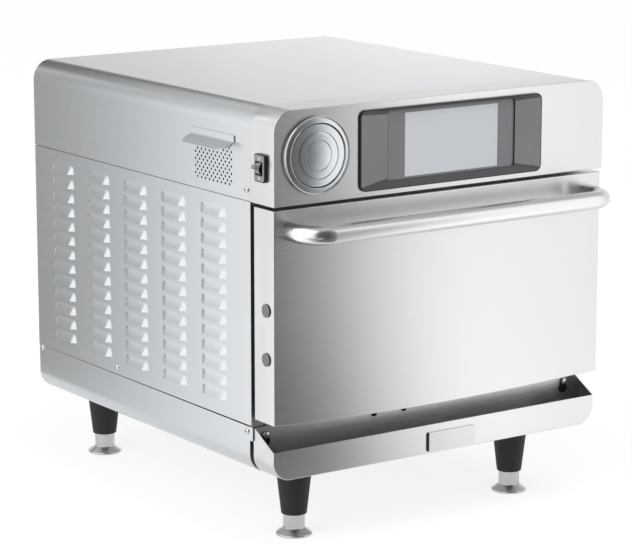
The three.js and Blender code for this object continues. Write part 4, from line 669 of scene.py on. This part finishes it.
keyValues = {"x": 250, "z": 144.8, "radius": 7.5, "neck": 3.2, "bore": [-12, 8], "throat": [40, 60],
             "screwY": 50.6, "screwZ": 154.5, "shank": 2.6, "under": -6, "neckEnd": 1.2, "head": 4.6,
             "headSkirt": 2.6, "headRise": 1.6, "padMargin": 2, "padThick": 0.6, "padY": 52.8}
k = keyValues


def keyBore(name, radius, sides, x, z):
    return turn(name, [[radius, k["bore"][0]], [radius, k["bore"][1]]], sides, x, v["back"], z, "Y")


for sideName, s in (("left", -1), ("right", 1)):
    keyX = s * k["x"]
    cut(troughWall, keyBore("key", k["radius"], 40, keyX, k["z"]),
        keyBore("neck", k["neck"], 24, keyX, k["screwZ"]),
        block("throat", keyX - k["neck"], keyX + k["neck"], *k["throat"], k["z"], k["screwZ"]))
    profile = [[k["shank"], k["under"]], [k["shank"], k["neckEnd"]], [k["head"], k["neckEnd"]]]
    profile += domeProfile(k["head"], k["headRise"], k["headSkirt"])
    screw = turn(f"trough_screw_{sideName}_turned", profile, 32, keyX, k["screwY"], k["screwZ"], "-Y")
    smooth(screw, 40)
    fit(screw, "oven_body", screwSteel, "bright_steel", f"trough_screw_{sideName}")
trough = joinPieces([trough, troughWall], "crumb_trough_pan")
smooth(trough)
fit(trough, "oven_body", frontSteel, "satin_steel", "crumb_trough")
# Black rubber discs just behind the keyholes, so that the holes read dark: painted shade
padRadius = k["radius"] + k["padMargin"]
pads = [turn("pad", [[padRadius, 0], [padRadius, -k["padThick"]]], 40, s * k["x"], k["padY"], k["z"], "Y")
        for s in (-1, 1)]
fit(joinPieces(pads, "trough_keyhole_shade_discs"), "oven_body", sealRubber, "rubber")

# Two rubber buffers on the trough's back wall, that the door's foot comes down in front of
bufferValues = {"xPlaces": [-76, -27], "z": 156.5, "wallY": 50.9,
                "profile": [[4, -0.4], [4, 1.4], [3.2, 2]]}
v = bufferValues
buffers = [turn("buffer", v["profile"], 24, x, v["wallY"], v["z"], "-Y") for x in v["xPlaces"]]
buffers = joinPieces(buffers, "trough_buffers")
smooth(buffers)
fit(buffers, "oven_body", sealRubber, "rubber")

# Door skin, a tray open behind, notched for its hinge arms
doorValues = {"half": 268.2, "front": 2.5, "back": 47, "low": 177.5, "high": 457, "sheet": 1.2, "edge": 1.0,
              "bowBand": 1.2, "arm": 236, "notchHalf": 5.5, "notch": [15.4, 49, 175, 198.6],
              "bow": 7, "bowSteps": 16}
v = doorValues
doorSkin = tray("door_skin_folded", v)
openFaces(doorSkin, lambda c, n: n.y > straight)
bevelEdges(doorSkin, v["edge"], 3, lambda c, n: near(c.y, v["front"]) or runsAlong(n, "y"))
for i in range(1, v["bowSteps"]):  # the foot bows down towards its middle
    bisectAt("x", v["half"] * (2 * i / v["bowSteps"] - 1))
cage = bmesh.from_edit_mesh(doorSkin.data)
for corner in cage.verts:
    c = ovenMm(corner.co)
    if c.z < v["low"] + v["bowBand"]:
        frontShare = (v["back"] - c.y) / (v["back"] - v["front"])
        corner.co.z -= v["bow"] * (1 - (c.x / v["half"]) ** 2) * frontShare / 1000
bmesh.update_edit_mesh(doorSkin.data)
deselect()
thicken(doorSkin, v["sheet"])
cut(doorSkin, *[block("notch", s * v["arm"] - v["notchHalf"], s * v["arm"] + v["notchHalf"], *v["notch"])
                for s in (-1, 1)])
smooth(doorSkin)
fit(doorSkin, "door", frontSteel, "satin_steel", "door_skin")

# Handle: a circle run out from the door, spun round the first bend, run across and spun again
handleValues = {"radius": 12.3, "root": 2.5, "axisY": -48.2, "height": 429.5, "endX": 243.7, "bend": 30,
                "sides": 40, "steps": 14}
v = handleValues
bendY = v["axisY"] + v["bend"]
bendX = v["endX"] - v["bend"]


def quarterTurn(x):
    bpy.ops.mesh.spin(steps=v["steps"], angle=-math.pi / 2, axis=(0, 0, 1),
                      center=place(x, bendY, v["height"]))


deselect()
bpy.ops.mesh.primitive_circle_add(vertices=v["sides"], radius=v["radius"] / 1000, fill_type="NGON",
                                  location=place(-v["endX"], v["root"], v["height"]),
                                  rotation=(math.pi / 2, 0, 0))
handle = settle(bpy.context.object, "door_handle_tube")
bpy.ops.object.mode_set(mode="EDIT")
bpy.ops.mesh.select_mode(type="FACE")
bpy.ops.mesh.select_all(action="SELECT")
extrudePicked(0, bendY - v["root"], 0)
quarterTurn(-bendX)
extrudePicked(2 * bendX, 0, 0)
quarterTurn(bendX)
extrudePicked(0, v["root"] - bendY, 0)
deselect()
faceOut(handle)
smooth(handle, 40)
fit(handle, "door", tubeSteel, "satin_steel", "door_handle")
print("base, trough, door and handle made")

# Legs and levelling feet
legValues = {"x": 182.7, "yPlaces": {"front": 83.9, "rear": 581.3}, "sides": 56,
             "profile": [[15.2, 29], [17, 29.6], [17.4, 31.5], [24.7, 95.2], [25, 96.5], [25, 101.4]]}
footValues = {"profile": [[23.6, 0], [24.5, 0.8], [24.5, 2.4], [24, 3.2], [15.4, 9.3], [14.7, 9.8],
                          [14.5, 10.6], [14.5, 62.6]],
              "sides": 64, "flatZ": [10.6, 19], "flatX": [13.4, 18], "flatHalf": 16,
              "turned": {"front_left": 12, "rear_left": 40, "front_right": 65, "rear_right": -20}}
v = footValues
for sideName, s in (("left", -1), ("right", 1)):
    for endName, footY in legValues["yPlaces"].items():
        corner = f"{endName}_{sideName}"
        footX = s * legValues["x"]
        leg = turn(f"leg_{corner}_moulded", legValues["profile"], legValues["sides"], footX, footY, 0)
        smooth(leg, 50)
        fit(leg, "oven_body", blackNylon, "black_plastic", f"leg_{corner}")
        foot = turn(f"foot_{corner}_turned", v["profile"], v["sides"], footX, footY, 0)
        for flatSide in (-1, 1):  # flats for the spanner
            flat = block("flat", *[footX + flatSide * x for x in v["flatX"]],
                         footY - v["flatHalf"], footY + v["flatHalf"], *v["flatZ"])
            cut(foot, turnAbout(flat, v["turned"][corner], "Z", place(footX, footY, 0)))
        smooth(foot, 40)
        fit(foot, f"{corner}_foot", turnedSteel, "bright_steel", f"foot_{corner}")

# Touch screen bezel: its face is inset to a rim, and the middle is shrunk to the hole and pushed in
bezelValues = {"left": -138, "right": 159.3, "low": 469, "high": 574.3, "proud": 3.2, "back": -0.2,
               "corner": 9, "cornerSteps": 8, "rim": 1.2, "crease": 0.5, "holeLeft": -94.4,
               "holeRight": 115.7, "holeLow": 479.2, "holeHigh": 570.5, "setback": 2.6, "throatEnd": 2.1,
               "wall": 1.8, "rimBand": 0.2, "leastLean": 0.05, "barLean": 0.02}
v = bezelValues
bezel = block("touch_bezel_moulded", v["left"], v["right"], -v["proud"], v["back"], v["low"], v["high"])
bevelEdges(bezel, v["corner"], v["cornerSteps"], lambda c, n: runsAlong(n, "y"))
pick(bezel, "FACE", lambda c, n: n.y < -straight)
for margin in (v["rim"], v["crease"]):
    bpy.ops.mesh.inset(thickness=margin / 1000, depth=0)
inset = v["rim"] + v["crease"]
holeX, holeZ = (v["holeLeft"] + v["holeRight"]) / 2, (v["holeLow"] + v["holeHigh"]) / 2
faceX, faceZ = (v["left"] + v["right"]) / 2, (v["low"] + v["high"]) / 2
widthShare = (v["holeRight"] - v["holeLeft"]) / (v["right"] - v["left"] - 2 * inset)
heightShare = (v["holeHigh"] - v["holeLow"]) / (v["high"] - v["low"] - 2 * inset)
bpy.ops.transform.resize(value=(widthShare, 1, heightShare),
                         center_override=place(faceX, -v["proud"], faceZ))
pushPicked(holeX - faceX, v["setback"], holeZ - faceZ)
extrudePicked(0, v["throatEnd"] + v["proud"] - v["setback"], 0)
bpy.ops.mesh.delete(type="FACE")
openFaces(bezel, lambda c, n: n.y > straight)


def onFunnel(c, n):  # the faces that slope from the rim to the hole
    return n.y < -v["leastLean"] and c.y > -v["proud"] + v["rimBand"]


paintFaces(bezel, (blackPlastic, bezelPlastic, bezelPaintedShade),
           lambda c, n: onFunnel(c, n) and abs(n.z) < v["barLean"],  # beside the screen
           lambda c, n: onFunnel(c, n) and abs(n.z) > v["barLean"])  # above and below it, painted darker as shade
thicken(bezel, v["wall"])
smooth(bezel, 25)
fit(bezel, "oven_body", None, "black_plastic", "touch_bezel")

# Glass, with the part that the display lights
glassValues = {"pane": [-95.9, 117.2, 2, 5, 477.7, 570.2], "litX": [-64, 88.2], "litZ": [482, 565.5]}
v = glassValues
litLow, litHigh = v["litZ"]
glass = block("touch_glass_pane", *v["pane"])
hold(glass)
bpy.ops.object.mode_set(mode="EDIT")
for axis, ends in (("x", v["litX"]), ("z", v["litZ"])):
    for at in ends:
        bisectAt(axis, at)
paintFaces(glass, (displayGlass, displayLit),
           lambda c, n: n.y < -straight and v["litX"][0] < c.x < v["litX"][1] and litLow < c.z < litHigh)
fit(glass, "oven_body", None, "screen_glass", "touch_glass")

# Medallion: a rounded rim, a broad ring rising inwards, a thin ring, a groove painted black as shade, and a
# dome with turned steps
medallionValues = {"x": -205, "z": 523.5, "sides": 96, "outer": 50.6, "back": [50.4, 0.2], "crown": 49.5,
                   "inner": 48.2, "proud": 4.8, "rimSteps": 8, "grooveFloor": 3.4, "grooveWide": 0.3,
                   "slopeTop": [42.9, 4.7], "ring": 42.2, "ringHalf": 0.7, "ringRise": 1.3, "ringSteps": 6,
                   "cove": [[41.1, -4.1], [40.3, -4.5]], "coveEnd": 40.25, "dome": 40.2, "domeEdge": 4.7,
                   "domeTop": 8, "edgeRun": 9, "stepPlaces": [31, 20], "step": 0.4, "stepCut": [0.5, 0.9],
                   "stepWide": 1.1, "runSteps": 5, "middle": 0.6}
v = medallionValues
quarter = [math.pi / 2 * i / v["rimSteps"] for i in range(v["rimSteps"] + 1)]
rimOut = [[v["crown"] + (v["outer"] - v["crown"]) * math.cos(t), -v["proud"] * math.sin(t)]
          for t in quarter]
rimIn = [[v["crown"] - (v["crown"] - v["inner"]) * math.cos(t),
          -v["grooveFloor"] - (v["proud"] - v["grooveFloor"]) * math.sin(t)] for t in reversed(quarter)][1:]
arc = [math.pi * i / v["ringSteps"] for i in range(v["ringSteps"] + 1)]
ringRun = [[v["ring"] + v["ringHalf"] * math.cos(t), -v["slopeTop"][1] - v["ringRise"] * math.sin(t)]
           for t in arc]
domeRise = v["domeTop"] - v["domeEdge"]
domeRadius = (v["dome"] ** 2 + domeRise ** 2) / 2 / domeRise


def domePoint(r, sunk):  # [radius, height] of a point of the dome; out of the console is minus
    return [r, -(v["domeTop"] - domeRadius + math.sqrt(domeRadius ** 2 - r ** 2)) + sunk]


domeRun = [domePoint(v["dome"] - i, 0) for i in range(v["edgeRun"])]
for i, outer in enumerate(v["stepPlaces"]):  # each step sinks a little, behind a narrow groove
    top = domePoint(outer, i * v["step"])
    foot = outer - v["stepWide"]
    run = foot - (v["stepPlaces"] + [v["middle"]])[i + 1]
    domeRun += [top, [outer - v["stepCut"][0], top[1] + v["stepCut"][1]], [foot, top[1] + v["step"]]]
    domeRun += [domePoint(foot - run * k / v["runSteps"], (i + 1) * v["step"])
                for k in range(1, v["runSteps"])]
domeRun.append(domePoint(v["middle"], v["step"] * len(v["stepPlaces"])))
profile = ([v["back"]] + rimOut + rimIn + [[v["inner"] - v["grooveWide"], -v["grooveFloor"]]] + ringRun +
           v["cove"] + domeRun)
medallion = turn("medallion_chromed", profile, v["sides"], v["x"], 0, v["z"], "Y")


def between(c, least, most):
    return least < math.hypot(c.x - v["x"], c.z - v["z"]) < most


ringInner = v["ring"] - v["ringHalf"]
# The rim and the thin ring take the brighter polished steel; the groove inside the thin ring is painted
# black as shade
paintFaces(medallion, (chrome, screwSteel, blackPlastic),
           lambda c, n: between(c, v["inner"], v["outer"]) or between(c, ringInner, v["slopeTop"][0]),
           lambda c, n: between(c, v["coveEnd"], ringInner))
smooth(medallion, 30)
fit(medallion, "oven_body", None, "bright_steel", "medallion")

# Power switch: a round-cornered black housing, a pale face plate held by two screws, and a rocking bat
switchValues = {"y": [15.4, 39.2], "z": [491.4, 527.3], "wall": -268.9, "face": -273.2, "corner": 3.6,
                "cornerSteps": 6, "edge": 0.7, "slotY": [19.6, 36.2], "slotZ": [499.8, 518], "slotPast": 3,
                "plateInset": 1.4, "plateProud": 0.3, "plateBack": 0.5, "plateCorner": 3, "plateSteps": 5,
                "screwY": 27.4, "screwZ": [496.6, 521.4], "pivot": [-267.5, 29, 508.2], "barrelRadius": 8.4,
                "barrelSides": 64, "barrelY": [24.6, 34.8], "batX": [8, 16.5], "batWidth": 6,
                "batEdge": 1.9, "tilt": -16}
v = switchValues
outPast = v["face"] - v["slotPast"]
housing = block("power_switch_housing_moulded", v["wall"], v["face"], *v["y"], *v["z"])
bevelEdges(housing, v["corner"], v["cornerSteps"], lambda c, n: runsAlong(n, "x"))
bevelEdges(housing, v["edge"], 3, lambda c, n: near(c.x, v["face"], 0.2) and runsAcross(n, "x"))
deselect()
cut(housing, block("slot", v["wall"] + v["slotPast"], outPast, *v["slotY"], *v["slotZ"]))
smooth(housing)
fit(housing, "oven_body", blackPlastic, "black_plastic", "power_switch_housing")
inset = v["plateInset"]
plateFace = v["face"] - v["plateProud"]
plate = block("power_switch_plate", v["face"] + v["plateBack"], plateFace,
              v["y"][0] + inset, v["y"][1] - inset, v["z"][0] + inset, v["z"][1] - inset)
bevelEdges(plate, v["plateCorner"], v["plateSteps"], lambda c, n: runsAlong(n, "x"))
deselect()
cut(plate, block("slot", v["wall"], outPast, *v["slotY"], *v["slotZ"]))
smooth(plate)
fit(plate, "oven_body", palePlastic, "grey_plastic")
heads = [screwHead(plateFace, v["screwY"], z, "-X", radius=2.3, rise=0.8, skirt=0.2, crossHalf=0.35)
         for z in v["screwZ"]]
fit(joinPieces(heads, "power_switch_screws"), "oven_body", screwSteel, "bright_steel")

pivotX, pivotY, pivotZ = v["pivot"]
halfBat = v["batWidth"] / 2
barrel = turn("power_switch_bat", [[v["barrelRadius"], y - pivotY] for y in v["barrelY"]], v["barrelSides"],
              pivotX, pivotY, pivotZ, "Y")
bat = block("bat", pivotX - v["batX"][0], pivotX - v["batX"][1], pivotY - halfBat, pivotY + halfBat,
            pivotZ - halfBat, pivotZ + halfBat)
bevelEdges(bat, v["batEdge"], 4, lambda c, n: runsAlong(n, "x") or near(c.x, pivotX - v["batX"][1], 0.1))
turnAbout(bat, v["tilt"], "Y", place(*v["pivot"]))
bat = joinPieces([barrel, bat], "power_switch_bat")
# The barrel's front end, which lies in the slot's shade, is painted black as shade
paintFaces(bat, (palePlastic, blackPlastic),
           lambda c, n: runsAlong(n, "y") and near(c.y, v["barrelY"][0], 0.1))
smooth(bat, 40)
fit(bat, "power_switch", None, "grey_plastic", "power_switch_lever")

# Plugs over the door's hinge screws: a shallow grey dome on a skirt painted black as shade
plugValues = {"side": 268.2, "y": 19.7, "zPlaces": {"lower": 262.5, "upper": 326.5}, "flange": 8.8,
              "sunk": 0.2, "skirt": 1.5, "dome": 8.4, "rise": 0.9, "sides": 40, "shadedSkirtLean": 0.3}
v = plugValues
profile = [[v["flange"], -v["sunk"]], [v["flange"], v["skirt"]]]
profile += domeProfile(v["dome"], v["rise"], v["skirt"])
for sideName, s in (("left", -1), ("right", 1)):
    for levelName, plugZ in v["zPlaces"].items():
        plug = turn(f"door_plug_{levelName}_{sideName}_moulded", profile, v["sides"],
                    s * v["side"], v["y"], plugZ, "X" if s > 0 else "-X")
        # The skirt's side faces are painted black as shade
        paintFaces(plug, (plugPlastic, blackPlastic), lambda c, n: abs(n.x) < v["shadedSkirtLean"])
        smooth(plug, 40)
        fit(plug, "door", None, "plug_grey", f"door_plug_{levelName}_{sideName}")

# Badge: a bare pale plate, its left end painted black as the shade beside its edge
badgeValues = {"plate": [-21.5, 58, 4.1, 5.7, 105, 131], "corner": 2.5, "cornerSteps": 5, "edge": 0.3,
               "shadeStripEnd": -18.5}
v = badgeValues
badge = block("badge_plate_blank", *v["plate"])
bevelEdges(badge, v["corner"], v["cornerSteps"], lambda c, n: runsAlong(n, "y"))
bevelEdges(badge, v["edge"], 2, lambda c, n: near(c.y, v["plate"][2]))
bisectAt("x", v["shadeStripEnd"])
# The strip left of this line is painted shade
paintFaces(badge, (paleAnodised, blackPlastic), lambda c, n: c.x < v["shadeStripEnd"])
smooth(badge)
fit(badge, "oven_body", None, "bright_steel", "badge_plate")

# Screws of the back panel, down its sides and along its top and foot
backScrewValues = {"y": 615.1, "sides": [255, [195, 320, 445, 555]], "rows": [[-150, 0, 150], [572, 183]]}
v = backScrewValues
backScrewPlaces = [[s * v["sides"][0], z] for s in (-1, 1) for z in v["sides"][1]]
backScrewPlaces += [[x, z] for z in v["rows"][1] for x in v["rows"][0]]
heads = [screwHead(x, v["y"], z, "Y", radius=3.6, rise=1.6, skirt=0.3) for x, z in backScrewPlaces]
fit(joinPieces(heads, "back_panel_screws"), "oven_body", screwSteel, "bright_steel")
print("legs, screen and medallion made")

# CAD pieces that keep their shape take a finish each
keptFinishes = [
    [frontSteel, ["back_panel", "front_frame", "cavity_liner", "lower_jetplate", "upper_jetplate",
                  "return_air_grille", "door_inner_panel"]],
    [zincSteel, ["vent_duct", "blower_housing", "blower_wheel", "blower_motor", "heater_coil", "waveguide",
                 "stirrer", "stirrer_motor", "electronics_shelf", "magnetron_left", "magnetron_right",
                 "hinge_bracket_left", "hinge_bracket_right"]],
    [blackPlastic, ["display_module", "fan_frame", "cooling_fan", "cord_gland"]],
    [copperCoil, ["transformer_left", "transformer_right"]],
    [turnedSteel, ["wire_rack"]],
    [fibreBlanket, ["cavity_insulation"]],
    [catalystBrick, ["catalytic_converter"]],
    [boardEpoxy, ["control_board"]],
    [sealRubber, ["door_gasket"]],
]
for finish, nodeNames in keptFinishes:
    for nodeName in nodeNames:
        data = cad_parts[nodeName].data
        data.materials.clear()
        data.materials.append(finish)
print("finishes given to the kept solids")

# Studio: white floor, a pale world with a dim ceiling, and graduated panels that the steel mirrors
white = (1, 1, 1, 1)
studioValues = {"floorHalf": 6.0, "floorZ": -0.0005, "cardZ": 0.0008, "litStrength": 0.8, "floorGlow": 0.78,
                "floorPaint": "#8c8c8c", "ceilingStart": 0.3, "ceilingFull": 0.7, "ceilingTone": 0.6}
v = studioValues


def seenRay(tree):  # 1 for rays that look at the background: from the camera, off gloss and through glass
    rays = addNode(tree, "LightPath").outputs
    either = addNode(tree, "Math", {}, {0: rays["Is Camera Ray"], 1: rays["Is Glossy Ray"]},
                     operation="MAXIMUM")
    return addNode(tree, "Math", {}, {0: either.outputs[0], 1: rays["Is Transmission Ray"]},
                   operation="MAXIMUM").outputs[0]


deselect()
bpy.ops.mesh.primitive_plane_add(size=v["floorHalf"] * 2, location=(0, 0, v["floorZ"]))
floor = bpy.context.object
floor.name = "studio_floor"
floorPaint = bpy.data.materials.new("matt white paper")
tree = emptyTree(floorPaint)
paper = addNode(tree, "BsdfDiffuse", {"Color": paint(v["floorPaint"]), "Roughness": 1.0})
glowStrength = addNode(tree, "Math", {1: v["floorGlow"]}, {0: seenRay(tree)}, operation="MULTIPLY")
glow = addNode(tree, "Emission", {"Color": white}, {"Strength": glowStrength.outputs[0]})
both = addNode(tree, "AddShader", {}, {0: paper.outputs[0], 1: glow.outputs[0]})
addNode(tree, "OutputMaterial", links={"Surface": both.outputs[0]})
floor.data.materials.append(floorPaint)

world = bpy.data.worlds.new("studio")
scene.world = world
tree = emptyTree(world)
heading = addNode(tree, "TexCoord").outputs["Generated"]
parts = addNode(tree, "SeparateXYZ", {}, {0: heading})
fade = {"From Min": v["ceilingStart"], "From Max": v["ceilingFull"], "To Min": 1.0,
        "To Max": v["ceilingTone"]}
ceiling = addNode(tree, "MapRange", fade, {"Value": parts.outputs["Z"]}, interpolation_type="SMOOTHSTEP")
lit = addNode(tree, "Background", {"Color": white, "Strength": v["litStrength"]})
seen = addNode(tree, "Background", {"Color": white}, {"Strength": ceiling.outputs[0]})
mixed = addNode(tree, "MixShader", {}, {0: seenRay(tree), 1: lit.outputs[0], 2: seen.outputs[0]})
addNode(tree, "OutputWorld", links={"Surface": mixed.outputs[0]})

# A graduated panel stands a metre or more from a face and runs back along the floor towards it. Only gloss
# sees it. Its tone changes along one heading, so that a face shows the same soft gradient at every height.
panelValues = {
    "front": {"low": (-1.6, -1.29), "high": (2.6, -0.45), "wall": ("y", -1.29), "height": 2.2,
              "heading": (1, 0.62, 0), "span": (-0.93, 0.47),
              "stops": [[0, 0.06], [0.04, 0.06], [0.13, 0.18], [0.286, 0.2], [0.357, 0.1], [0.4, 0.08],
                        [0.436, 0.22], [0.479, 0.56], [0.514, 0.96], [0.55, 1.26], [0.6, 1.52],
                        [0.664, 1.62], [0.729, 1.5], [1.0, 1.25]]},
    "left": {"low": (-1.26, -1.6), "high": (-0.45, 4.2), "wall": ("x", -1.26), "height": 3.0,
             "heading": (1.67, 1, 0), "span": (-1.2, 0.6),
             "stops": [[0, 1.45], [0.12, 1.45], [0.17, 1.5], [0.23, 1.28], [0.355, 1.1], [0.424, 0.88],
                       [0.494, 0.64], [0.56, 0.43], [0.64, 0.3], [0.76, 0.34], [0.86, 0.62], [0.94, 0.5],
                       [1, 0.36]],
             "rise": [[0, 1], [0.4, 1], [0.55, 1.6], [0.75, 1.9], [1, 1.9]]},
    "rear": {"low": (-0.7, 2.56), "high": (4.2, 2.6), "wall": ("y", 2.6), "height": 3.6,
             "heading": (1, -0.76, 0), "span": (-1.0, 0.8),
             "stops": [[0, 0.95], [0.15, 1.1], [0.24, 1.22], [0.34, 1.4], [0.44, 1.45], [0.55, 1.6],
                       [0.62, 1.68], [0.8, 1.75], [1, 1.7]],
             "rise": [[0, 1], [0.376, 1], [0.388, 0.04], [0.555, 0.04], [0.61, 0.75], [0.7, 0.95],
                      [1, 0.95]]},
}


# Stops are [share along, tone]. A ramp's colour stays under 1, so it holds half a tone; a strength of four
# makes up for the two ramps.
def toneRamp(tree, source, low, high, stops):
    share = addNode(tree, "MapRange", {"From Min": low, "From Max": high}, {"Value": source})
    ramp = addNode(tree, "ValToRGB", {}, {"Fac": share.outputs[0]})
    elements = ramp.color_ramp.elements
    while len(elements) < len(stops):
        elements.new(0.5)
    for element, (at, tone) in zip(elements, stops):
        element.position = at
        element.color = (tone / 2, tone / 2, tone / 2, 1)
    return ramp.outputs["Color"]


def panel(name, low, high, wall, height, heading, span, stops, rise=((0, 1), (1, 1))):
    deselect()
    bpy.ops.mesh.primitive_plane_add(size=1)
    card = bpy.context.object
    card.scale = (high[0] - low[0], high[1] - low[1], 1)
    card.location = ((high[0] + low[0]) / 2, (high[1] + low[1]) / 2, studioValues["cardZ"])
    settle(card, "panel_" + name)
    wallAxis, wallPlace = wall
    wallMm = (wallPlace - (shiftX if wallAxis == "x" else shiftY)) * 1000
    pick(card, "EDGE", lambda c, n: near(getattr(c, wallAxis), wallMm) and runsAcross(n, wallAxis))
    extrudePicked(0, 0, height * 1000)
    deselect()
    finish, tree, coords = startFinish("graduated scrim " + name)
    along = addNode(tree, "VectorMath", {1: heading}, {0: coords}, operation="DOT_PRODUCT")
    upward = addNode(tree, "SeparateXYZ", {}, {0: coords})
    tones = toneRamp(tree, along.outputs["Value"], *span, stops)
    lifts = toneRamp(tree, upward.outputs["Z"], 0.0, height, rise)
    strength = addNode(tree, "Math", {1: 4.0}, {0: lifts}, operation="MULTIPLY")
    glow = addNode(tree, "Emission", {}, {"Color": tones, "Strength": strength.outputs[0]})
    addNode(tree, "OutputMaterial", links={"Surface": glow.outputs[0]})
    card.data.materials.append(finish)
    for kind in ("camera", "diffuse", "transmission", "volume_scatter", "shadow"):
        setattr(card, "visible_" + kind, False)


for name, values in panelValues.items():
    panel(name, **values)


def softLamp(name, spot, aim, side, power):
    data = bpy.data.lights.new(name, "AREA")
    data.shape = "RECTANGLE"
    data.size, data.size_y = side, side
    data.energy = power
    lamp = bpy.data.objects.new(name, data)
    scene.collection.objects.link(lamp)
    lamp.location = spot
    lamp.rotation_euler = (Vector(aim) - Vector(spot)).to_track_quat("-Z", "Y").to_euler()
    lamp.visible_camera = False
    lamp.visible_glossy = False


softLamp("softbox_over", (0.3, -0.6, 2.2), (0, 0, 0.3), 1.8, 14)
softLamp("softbox_left", (-1.8, -0.6, 1.1), (0, 0, 0.3), 1.2, 8)
scene.view_settings.view_transform = "Standard"
print("studio set")
